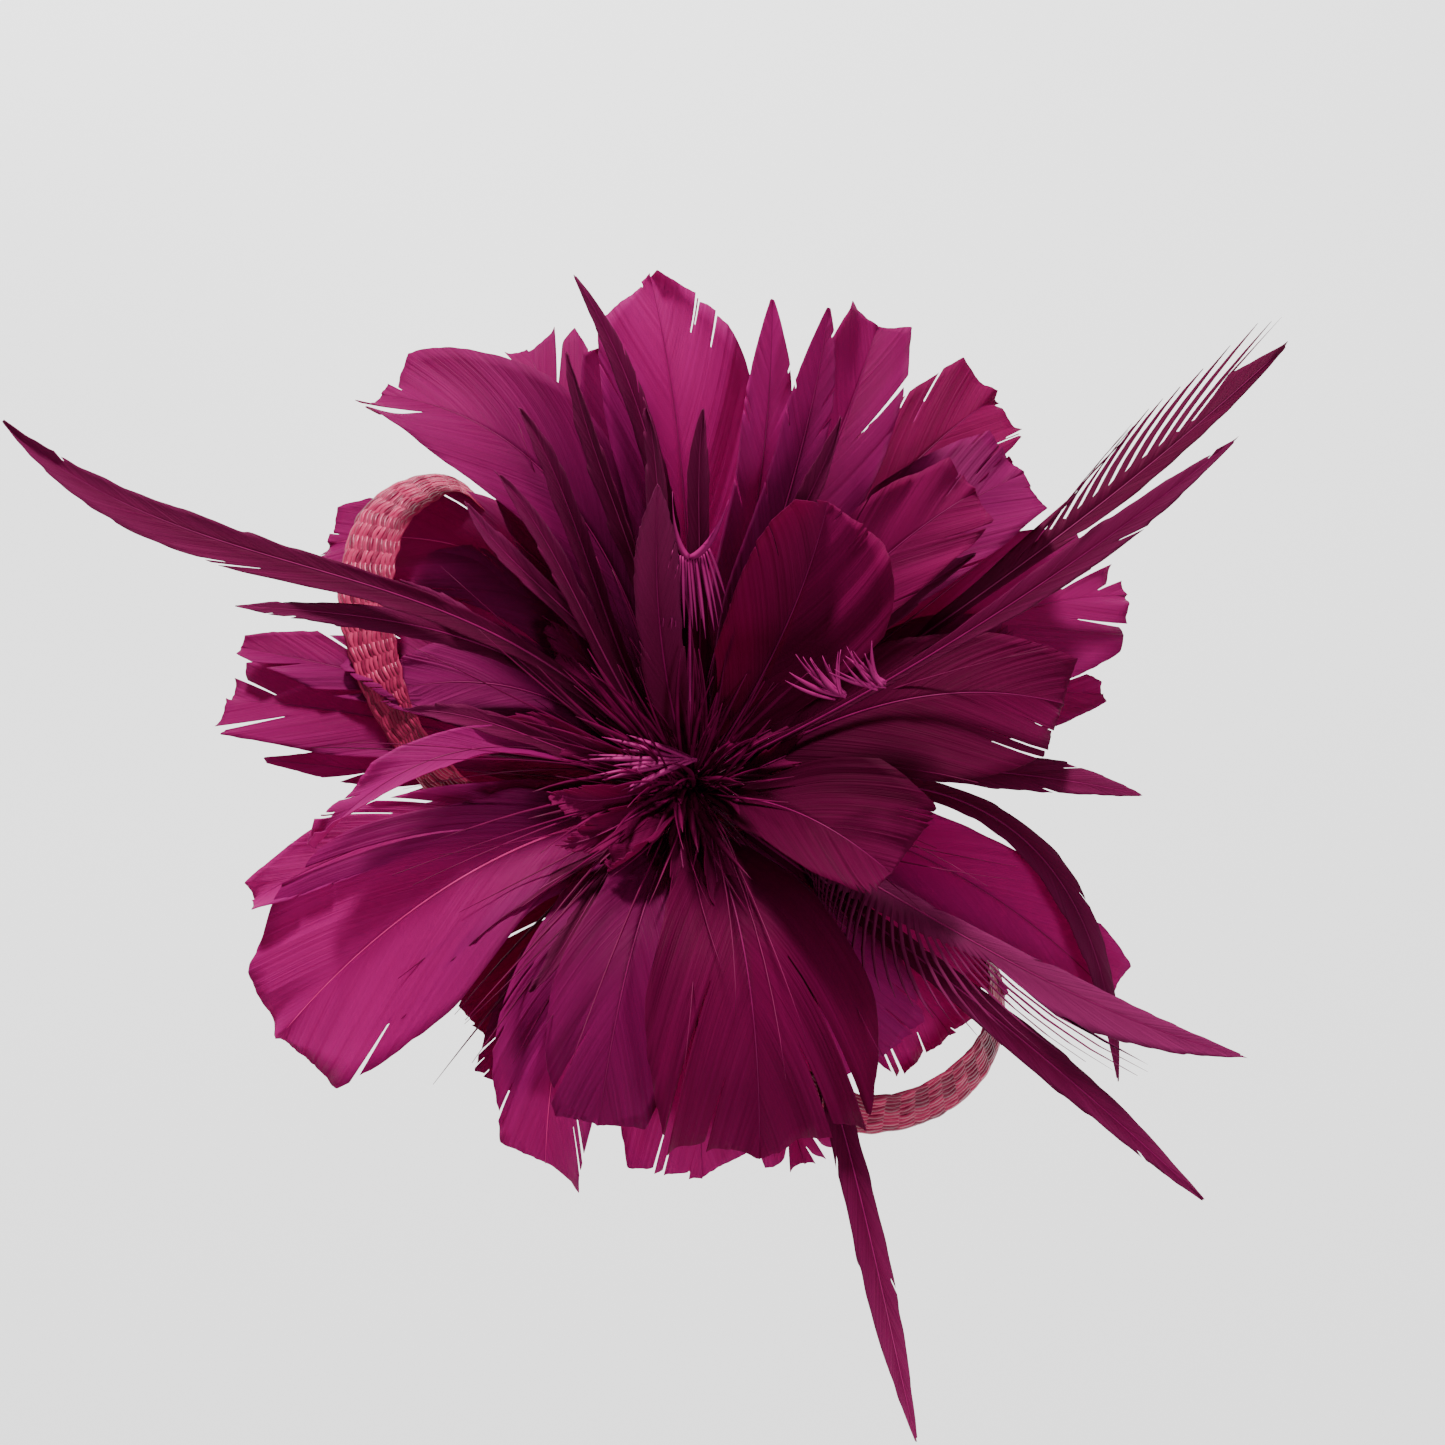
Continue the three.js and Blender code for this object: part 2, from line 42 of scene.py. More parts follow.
# ---------- studio ----------
# A pale floor well below the flower, which is held up by its clip, with one soft lamp high over its top edge,
# a weaker one across from it and a weak room light. The camera looks down at its face from its lower edge.
bpy.ops.mesh.primitive_circle_add(vertices=96, radius=4, fill_type="NGON", location=(0, 0, -0.32))
floor = bpy.context.object
floor.name = "studio_floor"
floor_paint = bpy.data.materials.new("studio_floor")
floor_paint.use_nodes = True
floor_paint.node_tree.nodes["Principled BSDF"].inputs["Base Color"].default_value = (0.93, 0.93, 0.93, 1)
floor_paint.node_tree.nodes["Principled BSDF"].inputs["Roughness"].default_value = 0.9
floor.data.materials.append(floor_paint)

room = bpy.data.worlds.new("room")
room.use_nodes = True
room.node_tree.nodes["Background"].inputs["Color"].default_value = (1, 1, 1, 1)
room.node_tree.nodes["Background"].inputs["Strength"].default_value = 0.42
bpy.context.scene.world = room


def studio_lamp(name, direction, distance, size, power):
    """A square soft lamp that looks at the flower from a direction."""
    light = bpy.data.lights.new(name, "AREA")
    light.size, light.energy = size, power
    lamp = bpy.data.objects.new(name, light)
    bpy.context.scene.collection.objects.link(lamp)
    towards = Vector(direction).normalized()
    lamp.location = towards * distance
    lamp.rotation_mode = "QUATERNION"
    lamp.rotation_quaternion = towards.to_track_quat("Z", "Y")


studio_lamp("key_lamp", (-0.22, 0.80, 0.66), 1.6, 0.22, 72)
studio_lamp("fill_lamp", (0.50, -0.58, 0.66), 1.6, 0.4, 17)

camera = bpy.data.objects.new("camera", bpy.data.cameras.new("camera"))
bpy.context.scene.collection.objects.link(camera)
CAMERA_DISTANCE = 450
CAMERA_ANGLE = math.radians(33.93)
look_at = Vector((6.175, 11.62, 19.42)) * MM
camera_tilt = math.radians(65)
back = Vector((0, -math.cos(camera_tilt), math.sin(camera_tilt)))
camera.location = look_at + back * CAMERA_DISTANCE * MM
camera.rotation_mode = "QUATERNION"
camera.rotation_quaternion = back.to_track_quat("Z", "Y")
camera.data.angle = CAMERA_ANGLE
camera.data.clip_start = 0.01
bpy.context.scene.camera = camera


# ---------- felt pad ----------
# A round of wool felt glued under the stiffened base, so that the fastenings don't mark the hair. It is cut
# from a sheet, slightly fuzzy, with a row of small running stitches near its edge.
class Dye:
    """One output socket of a material's nodes. Arithmetic on it adds Math nodes."""

    def __init__(self, tree, socket):
        self.tree, self.socket = tree, socket

    def maths(self, operation, first, second):
        return node(self.tree, "ShaderNodeMath", {"operation": operation}, {0: first, 1: second})

    def __add__(self, other):
        return self.maths("ADD", self, other)

    def __sub__(self, other):
        return self.maths("SUBTRACT", self, other)

    def __rsub__(self, other):
        return self.maths("SUBTRACT", other, self)

    def __mul__(self, other):
        return self.maths("MULTIPLY", self, other)

    __radd__ = __add__
    __rmul__ = __mul__

    def kept(self):
        """The value held between 0 and 1."""
        return node(self.tree, "ShaderNodeClamp", {}, {0: self})


def node(tree, kind, settings, sockets, output=0):
    """Adds one node: its settings first, then a value or a link for each socket."""
    made = tree.nodes.new(kind)
    for name, value in settings.items():
        setattr(made, name, value)
    for name, value in sockets.items():
        if isinstance(value, Dye):
            tree.links.new(value.socket, made.inputs[name])
        else:
            made.inputs[name].default_value = value
    return Dye(tree, made.outputs[output])


def blend_colours(tree, share, first, second):
    """Colour first at share 0 and second at share 1."""
    full = [c if isinstance(c, Dye) else (*c, 1) for c in (first, second)]
    return node(tree, "ShaderNodeMix", {"data_type": "RGBA", "blend_type": "MIX"},
                {0: share, 6: full[0], 7: full[1]}, 2)


def new_finish(name):
    """An empty material and its nodes."""
    finish = bpy.data.materials.new(name)
    finish.use_nodes = True
    finish.node_tree.nodes.clear()
    finish.node_tree.nodes.new("ShaderNodeOutputMaterial")
    return finish, finish.node_tree


def close_finish(tree, shader):
    """Sends the shader to the material's output."""
    tree.links.new(shader.socket, tree.nodes["Material Output"].inputs["Surface"])


def noise(tree, vector, scale, detail):
    """Fractal noise from 0 to 1."""
    return node(tree, "ShaderNodeTexNoise", {},
                {"Vector": vector, "Scale": scale, "Detail": detail, "Roughness": 0.55})


def stretched(tree, vector, scale):
    """A pattern's coordinates, stretched by a scale along each."""
    return node(tree, "ShaderNodeMapping", {}, {"Vector": vector, "Scale": scale})


def bumped(tree, height, distance, strength):
    """A surface normal from a height."""
    return node(tree, "ShaderNodeBump", {},
                {"Height": height, "Distance": distance, "Strength": strength})


def place_piece(name, shell, finishes, replaces=()):
    """Turns a bmesh into a smooth-shaded object in its place, riding on the flower."""
    mesh = bpy.data.meshes.new(name)
    shell.to_mesh(mesh)
    shell.free()
    mesh.polygons.foreach_set("use_smooth", [True] * len(mesh.polygons))
    for finish in finishes:
        mesh.materials.append(finish)
    piece = bpy.data.objects.new(name, mesh)
    bpy.context.scene.collection.objects.link(piece)
    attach(piece, "flower")
    if replaces:
        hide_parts(*replaces)
    return piece


def bent_rod(shell, sides, steps, place):
    """Adds a closed rod to a bmesh. place(share along, angle round) gives each point of its skin."""
    before = len(shell.verts)
    bmesh.ops.create_cone(shell, cap_ends=True, cap_tris=False, segments=sides, radius1=1, radius2=1, depth=1)
    long_edges = [e for e in {e for v in list(shell.verts)[before:] for e in v.link_edges}
                  if abs(e.verts[0].co.z - e.verts[1].co.z) > 0.5]
    bmesh.ops.subdivide_edges(shell, edges=long_edges, cuts=steps - 1, use_grid_fill=True)
    skin = list(shell.verts)[before:]
    for v in skin:
        v.co = place(v.co.z + 0.5, math.atan2(v.co.y, v.co.x))
    return skin


felt, tree = new_finish("wool_felt")
place = node(tree, "ShaderNodeTexCoord", {}, {}, 3)
fibres = noise(tree, place, 1400, 5)
tufts = noise(tree, place, 260, 4)
close_finish(tree, node(tree, "ShaderNodeBsdfPrincipled", {}, {
    "Base Color": blend_colours(tree, tufts * 0.7 + fibres * 0.3, (0.05, 0.004, 0.02), (0.13, 0.012, 0.055)),
    "Roughness": 0.95,
    "Specular IOR Level": 0.1,
    "Sheen Weight": 0.12,
    "Sheen Roughness": 0.6,
    "Sheen Tint": (0.6, 0.12, 0.3, 1),
    "Normal": bumped(tree, fibres * 0.6 + tufts * 0.6, 0.0006, 0.8),
}))

PAD_RADIUS, PAD_LOW, PAD_HIGH = 21 * MM, 1.3 * MM, 2.7 * MM
pad = bmesh.new()
bmesh.ops.create_circle(pad, cap_ends=True, segments=96, radius=PAD_RADIUS)
lifted = bmesh.ops.extrude_face_region(pad, geom=pad.faces[:])["geom"]
bmesh.ops.translate(pad, vec=(0, 0, PAD_HIGH - PAD_LOW),
                    verts=[g for g in lifted if isinstance(g, bmesh.types.BMVert)])
bmesh.ops.recalc_face_normals(pad, faces=pad.faces)
rims = [e for e in pad.edges if abs(e.verts[0].co.z - e.verts[1].co.z) < 1e-6]
bmesh.ops.bevel(pad, geom=rims, offset=0.45 * MM, offset_type="OFFSET", affect="EDGES", segments=4,
                profile=0.5, material=-1)
bmesh.ops.translate(pad, vec=(0, 0, PAD_LOW), verts=pad.verts)
felt_pad = place_piece("felt_round", pad, [felt], replaces=["felt_pad"])


# ---------- stitches ----------
# Small running stitches of doubled thread near the pad's edge, which sew it to the base before the glue sets.
STITCHES = 48
STITCH_RADIUS = 19.4
STITCH_LENGTH = 1.5
THREAD_HALF = 0.26


def thread_finish():
    """Waxed sewing thread, with its twist."""
    finish, tree = new_finish("sewing_thread")
    place = node(tree, "ShaderNodeTexCoord", {}, {}, 3)
    twist = noise(tree, stretched(tree, place, (1, 1, 2.5)), 1500, 3)
    close_finish(tree, node(tree, "ShaderNodeBsdfPrincipled", {}, {
        "Base Color": blend_colours(tree, twist, (0.05, 0.001, 0.02), (0.16, 0.004, 0.06)),
        "Roughness": twist * 0.2 + 0.45,
        "Normal": bumped(tree, twist, 0.0002, 0.6),
    }))
    return finish


THREAD = thread_finish()
row_of_stitches = bmesh.new()
for number in range(STITCHES):
    turn = 2 * math.pi * number / STITCHES

    def on_stitch(share, angle):
        along = turn + (share - 0.5) * STITCH_LENGTH / STITCH_RADIUS
        half = THREAD_HALF * max(0.25, math.sin(math.pi * (0.08 + 0.84 * share)) ** 0.4)
        wide = STITCH_RADIUS + math.cos(angle) * half
        return Vector((math.cos(along) * wide, math.sin(along) * wide,
                       PAD_LOW / MM - 0.03 + math.sin(angle) * half * 0.8)) * MM

    bent_rod(row_of_stitches, 6, 6, on_stitch)
place_piece("pad_stitches", row_of_stitches, [THREAD])


# ---------- base ----------
# A round of sinamay, the open straw cloth that hats are made of, stiffened and with its edge rolled and
# bound. The stem is glued to its middle and the felt under it.
sinamay, tree = new_finish("sinamay")
place = node(tree, "ShaderNodeTexCoord", {}, {}, 3)
warp = node(tree, "ShaderNodeSeparateXYZ", {}, {0: place}, 0)
weft = node(tree, "ShaderNodeSeparateXYZ", {}, {0: place}, 1)
THREADS_PER_METRE = 1100 * 2 * math.pi
over = warp.maths("SINE", warp * THREADS_PER_METRE, 0)
under = weft.maths("SINE", weft * THREADS_PER_METRE, 0)
weave = (over * under * 0.5 + 0.5).kept()
grain = noise(tree, place, 700, 3)
close_finish(tree, node(tree, "ShaderNodeBsdfPrincipled", {}, {
    "Base Color": blend_colours(tree, weave * 0.7 + grain * 0.3, (0.04, 0.001, 0.015), (0.24, 0.006, 0.08)),
    "Roughness": grain * 0.2 + 0.45,
    "Specular IOR Level": 0.3,
    "Normal": bumped(tree, weave, 0.0004, 0.7),
}))

DISC_RADIUS, DISC_LOW, DISC_HIGH, ROLL = 22.7 * MM, 2.95 * MM, 4.35 * MM, 0.78 * MM
disc = bmesh.new()
bmesh.ops.create_circle(disc, cap_ends=True, segments=96, radius=DISC_RADIUS)
lifted = bmesh.ops.extrude_face_region(disc, geom=disc.faces[:])["geom"]
bmesh.ops.translate(disc, vec=(0, 0, DISC_HIGH - DISC_LOW),
                    verts=[g for g in lifted if isinstance(g, bmesh.types.BMVert)])
bmesh.ops.translate(disc, vec=(0, 0, DISC_LOW), verts=disc.verts)
upright = Matrix.Rotation(math.pi / 2, 4, "X")
on_edge = Matrix.Translation((DISC_RADIUS, 0, (DISC_LOW + DISC_HIGH) / 2)) @ upright
ring = bmesh.ops.create_circle(disc, segments=14, radius=ROLL, matrix=on_edge)["verts"]
ring_edges = list(dict.fromkeys(e for v in ring for e in v.link_edges))
bmesh.ops.spin(disc, geom=ring + ring_edges, axis=(0, 0, 1), cent=(0, 0, 0), angle=2 * math.pi, steps=120,
               use_merge=True)
bmesh.ops.recalc_face_normals(disc, faces=disc.faces)
base = place_piece("sinamay_base", disc, [sinamay], replaces=["base_disc"])


# ---------- fastenings ----------
# A hair clip and a brooch bar of pressed steel, nickel plated and lightly brushed along their length, glued
# to the felt. Their sharp edges are broken by tumbling.
def plated_steel():
    """Brushed nickel with fine lengthwise scratches and duller patches."""
    finish, tree = new_finish("plated_steel")
    place = node(tree, "ShaderNodeTexCoord", {}, {}, 3)
    brushing = noise(tree, stretched(tree, place, (1, 26, 26)), 260, 4)
    haze = noise(tree, place, 120, 3)
    close_finish(tree, node(tree, "ShaderNodeBsdfPrincipled", {}, {
        "Base Color": blend_colours(tree, haze, (0.50, 0.49, 0.47), (0.66, 0.65, 0.62)),
        "Metallic": 1.0,
        "Roughness": brushing * 0.22 + haze * 0.12 + 0.14,
        "Normal": bumped(tree, brushing, 0.00005, 0.35),
    }))
    return finish


STEEL = plated_steel()
for name in ("clip_top_jaw", "clip_lower_jaw", "clip_hinge_pin", "clip_spring", "brooch_bar",
             "brooch_pin_rivet", "brooch_pin", "safety_catch_gate"):
    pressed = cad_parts[name]
    pressed.data.materials.clear()
    pressed.data.materials.append(STEEL)
    weld = pressed.modifiers.new("joined_corners", "WELD")
    weld.merge_threshold = 0.005 * MM
    if name != "clip_spring":
        broken = pressed.modifiers.new("broken_edges", "BEVEL")
        broken.width = 0.1 * MM
        broken.segments = 2
        broken.limit_method = "ANGLE"
        broken.angle_limit = math.radians(50)


# ---------- petals ----------
# Dyed goose feathers, each a shaft with a vane of fine barbs either side, trimmed square or round at the end
# and curled over a blade. Their quills are bound round the stem core, and the vanes split where barbs part.
def feather_dye(name, deep, body, pale, glow, glow_share, gloss):
    """The finish of dyed barbs: streaks along them, painted shade darkening them towards the root, and paler
    at the trimmed ends and where a feather's tone, in part a painted sheen, lifts it.
    """
    finish, tree = new_finish(name)
    barbs = node(tree, "ShaderNodeUVMap", {"uv_map": "barbs"}, {})
    shade = node(tree, "ShaderNodeAttribute", {"attribute_name": "shade"}, {}, 2)
    tone = node(tree, "ShaderNodeAttribute", {"attribute_name": "tone"}, {}, 2)
    fine = noise(tree, stretched(tree, barbs, (320, 5, 1)), 1, 2)
    coarse = noise(tree, stretched(tree, barbs, (70, 3, 1)), 1, 2)
    blotch = noise(tree, stretched(tree, barbs, (9, 7, 1)), 1, 2)
    streak = (fine * 0.8 + coarse * 0.9 + blotch * 0.5 - 0.6).kept()
    colour = blend_colours(tree, streak, deep, body)
    ends = (shade * 1.3 - 0.55).kept() * (coarse * 0.9 + 0.1)
    # Each feather's tone moves it towards the pale dye: a per-feather paleness that is in part a painted
    # sheen.
    colour = blend_colours(tree, (ends * 0.55 + tone * 0.5).kept(), colour, pale)
    # Painted shade: the barbs darken towards the root, where the flower's heart lies in shade.
    root = (1 - shade * 1.7).kept() * 0.8
    colour = blend_colours(tree, root, colour, tuple(c * 0.35 for c in deep))
    skin = node(tree, "ShaderNodeBsdfPrincipled", {}, {
        "Base Color": colour,
        "Roughness": fine * 0.25 + 0.42,
        "Specular IOR Level": gloss,
        "Sheen Weight": 0.03,
        "Sheen Roughness": 0.35,
        "Sheen Tint": (1.0, 0.45, 0.75, 1),
        "Normal": bumped(tree, fine * 0.7 + coarse * 0.8, 0.0005, 0.7),
    })
    through = node(tree, "ShaderNodeBsdfTranslucent", {}, {"Color": (*glow, 1)})
    close_finish(tree, node(tree, "ShaderNodeMixShader", {}, {0: glow_share, 1: skin, 2: through}))
    return finish


def shaft_dye(name, shade, glint):
    """The hard shafts, which take the dye evenly."""
    finish, tree = new_finish(name)
    place = node(tree, "ShaderNodeTexCoord", {}, {}, 3)
    mottle = noise(tree, place, 300, 3)
    close_finish(tree, node(tree, "ShaderNodeBsdfPrincipled", {}, {
        "Base Color": blend_colours(tree, mottle, shade, glint),
        "Roughness": mottle * 0.2 + 0.35,
        "Specular IOR Level": 0.07,
    }))
    return finish


# One magenta dye in four brightnesses, lit and shaded copies of it: the brightest is a painted lit face and
# the darker three are painted shade. Each petal gets the copy for how it meets the lamps, and the inner
# petals get the deepest painted shade.
PAINTED_LIT_DYE = feather_dye("petal_painted_lit_barbs", (0.20, 0.001, 0.080), (0.34, 0.002, 0.150), (0.47, 0.035, 0.25),
                     (0.62, 0.003, 0.27), 0.38, 0.10)
PAINTED_HALF_LIT_DYE = feather_dye("petal_barbs", (0.11, 0.0005, 0.040), (0.21, 0.0008, 0.086), (0.36, 0.018, 0.17),
                     (0.52, 0.002, 0.21), 0.36, 0.06)
PAINTED_SHADE_DYE = feather_dye("petal_painted_shade_barbs", (0.085, 0.0003, 0.024), (0.19, 0.0006, 0.062), (0.28, 0.012, 0.11),
                   (0.46, 0.001, 0.15), 0.34, 0.04)
PAINTED_DEEP_SHADE_DYE = feather_dye("inner_petal_painted_deep_shade_barbs", (0.045, 0.0002, 0.012), (0.11, 0.0004, 0.034), (0.22, 0.006, 0.08),
                   (0.36, 0.001, 0.11), 0.28, 0.03)
NIGHT = feather_dye("hackle_barbs", (0.05, 0.0003, 0.014), (0.12, 0.0006, 0.038), (0.34, 0.03, 0.16),
                    (0.35, 0.001, 0.11), 0.22, 0.05)
SHAFT = shaft_dye("feather_shaft", (0.10, 0.0008, 0.034), (0.20, 0.005, 0.075))
PINK_SHAFT = shaft_dye("bright_feather_shaft", (0.52, 0.01, 0.14), (0.70, 0.04, 0.26))
QUILL_START = 4.3
VANE_START = 0.08


def smooth_random(chance, count, spacing):
    """A slowly wandering value for each barb."""
    knots = chance.normal(size=max(4, int(count / spacing) + 3))
    at = np.linspace(0, len(knots) - 1.001, count)
    low = at.astype(int)
    ease = (1 - np.cos((at - low) * math.pi)) / 2
    return knots[low] * (1 - ease) + knots[low + 1] * ease


class Shaft:
    """A feather's bent shaft: the same curve, turn and cup as the feather's solid."""

    def __init__(self, azimuth, reach, tip_height, bows, sweeps, turn, cup, root_height):
        angle = math.radians(azimuth)
        out = np.array([math.cos(angle), math.sin(angle), 0])
        self.side = np.array([-math.sin(angle), math.cos(angle), 0])
        up = np.array([0, 0, 1.0])
        root = out * QUILL_START + up * root_height
        tip = out * reach + up * tip_height
        near = root + (tip - root) / 3 + up * bows[0] + self.side * sweeps[0]
        far = root + (tip - root) * 2 / 3 + up * bows[1] + self.side * sweeps[1]
        self.points = np.array([root, near, far, tip])
        self.turn, self.cup = math.radians(turn), cup
        self.length = 0.0
        line = self.along(np.linspace(0, 1, 200))[0]
        self.length = float(np.linalg.norm(np.diff(line, axis=0), axis=1).sum())

    def along(self, share):
        """Points and directions of the shaft, carried straight on past its tip."""
        u = np.clip(share, 0, 1)[..., None]
        a, b, c, d = self.points
        point = a * (1 - u) ** 3 + b * 3 * u * (1 - u) ** 2 + c * 3 * u ** 2 * (1 - u) + d * u ** 3
        slope = ((b - a) * (1 - u) ** 2 + (c - b) * 2 * u * (1 - u) + (d - c) * u ** 2) * 3
        direction = slope / np.linalg.norm(slope, axis=-1, keepdims=True)
        beyond = np.maximum(np.asarray(share) - 1, 0)[..., None]
        return point + direction * beyond * self.length, direction

    def frame(self, share):
        """Point, direction, across and face of the blade."""
        point, direction = self.along(share)
        side = self.side - direction * (direction @ self.side)[..., None]
        side /= np.linalg.norm(side, axis=-1, keepdims=True)
        normal = np.cross(direction, side)
        across = side * math.cos(self.turn) + normal * math.sin(self.turn)
        face = normal * math.cos(self.turn) - side * math.sin(self.turn)
        return point, direction, across, face

    def on_blade(self, share, offset, half_width, lift):
        """Points in millimetres, offset across the blade from the shaft."""
        point, _, across, face = self.frame(share)
        cupped = self.cup * np.minimum(1, 2 * np.asarray(share)) * np.minimum(1.4, (offset / half_width) ** 2)
        return point + across * offset[..., None] + face * (cupped + lift)[..., None]


def vane_width(widths, share):
    """Half-width of a vane: bare quill, then the widths at a third, two thirds and the end."""
    stops = [0, 0.12, 0.35, 0.7, 1.0]
    values = [0.6, max(0.8, widths[0] * 0.55), *widths]
    u = np.clip(share, 0, 1)
    k = np.clip(np.searchsorted(stops, u, side="right") - 1, 0, 3)
    part = (u - np.take(stops, k)) / (np.take(stops, k + 1) - np.take(stops, k))
    ease = np.where(k == 3, part ** 2, part * part * (3 - 2 * part))
    return np.take(values, k) + (np.take(values, k + 1) - np.take(values, k)) * ease


def grow_vane(shell, shaft, widths, hand, style, chance):
    """One vane: a grid whose columns are barbs that leave the shaft and sweep forward to the trimmed edge."""
    columns, rows = style["barbs"], style["rows"]
    q = np.linspace(VANE_START, 1, columns + 1)
    start = q * shaft.length
    lean = np.interp(q, [0, 0.3, 1], style["lean"])
    reach = np.linspace(0, 1, 80)[None, :] * max(widths) * 1.15
    forward = start[:, None] + lean[:, None] * reach + style["curve"] * reach ** 2 / max(max(widths), 1)
    edge = vane_width(widths, forward / shaft.length)
    cut = shaft.length * style["end"] + style["slant"][hand == "right"] * reach
    ragged = 1 + smooth_random(chance, columns + 1, 5) * style["ragged"]
    spare = np.minimum(edge * ragged[:, None] - reach, cut + (ragged[:, None] - 1) * 12 - forward)
    spare[:, -1] = -1
    past = np.maximum(np.argmax(spare < 0, axis=1), 1)
    before, after = spare[np.arange(columns + 1), past - 1], spare[np.arange(columns + 1), past]
    part = np.clip(before / (before - after), 0.02, 1)
    stop = reach[0, past - 1] + reach[0, 1] * part
    r = np.linspace(0, 1, rows + 1)[None, :]
    width = stop[:, None] * r
    ahead = start[:, None] + lean[:, None] * width + style["curve"] * width ** 2 / max(max(widths), 1)
    lift = (smooth_random(chance, columns + 1, 26)[:, None] * style["ripple"]
            + smooth_random(chance, columns + 1, 3)[:, None] * style["ripple"] * 0.11) * r
    lost = set()
    numbers = np.arange(columns + 1)[:, None]
    for place, depth, gap in style["slits"][hand]:
        k = int(place * columns)
        opened = np.clip((r - depth) / (1 - depth), 0, 1) ** 1.4
        away = np.where(numbers <= k, -1, 1) * np.exp(-np.abs(numbers - k) / (0.05 * columns))
        ahead = ahead + away * opened * gap / 2
        lift = lift + away * opened * gap * 0.25
        lost |= {(k, j) for j in range(rows) if r[0, j] >= depth - 0.01}
    for first, end, length, forward in style["comb"][hand]:
        for k in range(int(first * columns), int(end * columns)):
            share = min(1, max(0, (k / columns - first) / (end - first)))
            swell = max(0, math.sin(math.pi * share ** 0.8)) ** 0.6
            reached = stop[k] + (length * chance.uniform(0.85, 1.1) - stop[k]) * swell
            width[k] = reached * (r[0] * 1.25 - 0.25 * r[0] ** 3)
            ahead[k] = start[k] + (lean[k] * 2 * (1 - swell) + forward / length * swell * 1.2) * width[k] * (
                0.45 + 0.55 * r[0])
            lift[k] -= r[0] ** 2 * length * 0.12 * swell
            if k % style["clump"] == style["clump"] - 1:
                lost |= {(k, j) for j in range(1, rows)}
                lock = slice(k - style["clump"] + 1, k + 1)
                for track in (ahead, width, lift):
                    track[lock] += (track[lock].mean(axis=0) - track[lock]) * r[0] ** 2 * 0.94
    sign = 1 if hand == "left" else -1
    half = vane_width(widths, ahead / shaft.length) + 0.01
    skin = shaft.on_blade(ahead / shaft.length, sign * width, half, lift) * MM
    shade = (0.35 * q[:, None] + 0.65 * q[:, None] ** 0.5 * (0.4 + 0.6 * r))
    made = bmesh.ops.create_grid(shell, x_segments=columns, y_segments=rows, size=1)["verts"]
    barbs = shell.loops.layers.uv["barbs"]
    shades = shell.verts.layers.float["shade"]
    tones = shell.verts.layers.float["tone"]
    spots = {}
    for v in made:
        i, j = round((v.co.x + 1) / 2 * columns), round((v.co.y + 1) / 2 * rows)
        spots[v] = (i, j)
        v.co = skin[i, j]
        v[shades] = shade[i, j]
        v[tones] = style["tone"]
    faces = {f for v in made for f in v.link_faces}
    gone = []
    for face in faces:
        k, j = (min(spots[v][0] for v in face.verts), min(spots[v][1] for v in face.verts))
        if (k, j) in lost:
            gone.append(face)
            continue
        for loop in face.loops:
            i, j = spots[loop.vert]
            loop[barbs].uv = (start[i] / 100 + style["seed"], width[i, j] / 100 + (hand == "left"))
    bmesh.ops.delete(shell, geom=gone, context="FACES")
    kept = [f for f in faces if f.is_valid]
    if hand == "right":
        bmesh.ops.reverse_faces(shell, faces=kept)


PLAIN = {"barbs": 140, "rows": 10, "lean": (1.6, 2.0, 2.8), "curve": 0.5, "end": 1.0, "slant": (-0.15, -0.15),
         "ragged": 0.005, "ripple": 0.6, "tone": 0.0, "slits": {"left": [], "right": []},
         "comb": {"left": [], "right": []}, "shaft": (0.3, 0.07), "stem": SHAFT, "clump": 2}


def make_feather(row, dye, slot, seed, **changes):
    """A whole feather from its row: shaft, two vanes and their thickness."""
    name, azimuth, reach, tip, bows, sweeps, left, right, turn, cup, root = row
    style = {**PLAIN, **changes, "seed": seed * 3.7 % 50}
    chance = np.random.default_rng(seed)
    shaft = Shaft(azimuth, reach, tip, bows, sweeps, turn, cup, root)
    shell = bmesh.new()
    shell.loops.layers.uv.new("barbs")
    shell.verts.layers.float.new("shade")
    shell.verts.layers.float.new("tone")
    grow_vane(shell, shaft, left, "left", style, chance)
    grow_vane(shell, shaft, right, "right", style, chance)
    thick, thin = style["shaft"]

    def on_rod(share, angle):
        point, _, across, face = shaft.frame(np.array(share * style["end"]))
        radius = (thick + (thin - thick) * share ** 0.8) * (1 if share < 0.97 else 0.6)
        return Vector((point + across * math.cos(angle) * radius
                       + face * (math.sin(angle) * radius + 0.05)) * MM)

    blades = bmesh.new()
    bent_rod(blades, 7, 40, on_rod)
    rod = bpy.data.meshes.new(name + "_shaft")
    blades.to_mesh(rod)
    blades.free()
    stands_for = [name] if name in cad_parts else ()
    feather = place_piece(name + "_vane", shell, [dye], replaces=stands_for)
    wall = feather.modifiers.new("barb_thickness", "SOLIDIFY")
    wall.thickness = 0.14 * MM
    wall.offset = 0
    rod.polygons.foreach_set("use_smooth", [True] * len(rod.polygons))
    rod.materials.append(style["stem"])
    stick = bpy.data.objects.new(name + "_shaft", rod)
    bpy.context.scene.collection.objects.link(stick)
    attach(stick, "flower")
    return feather


def slits(left=(), right=()):
    return {"left": list(left), "right": list(right)}


def random_slits(seed, count, depth=(0.55, 0.9), gap=(0.3, 1.2)):
    """Small partings at chance places on both vanes."""
    chance = np.random.default_rng(seed + 900)
    return {hand: [(chance.uniform(0.25, 0.95), chance.uniform(*depth), chance.uniform(*gap))
                   for _ in range(count)] for hand in ("left", "right")}


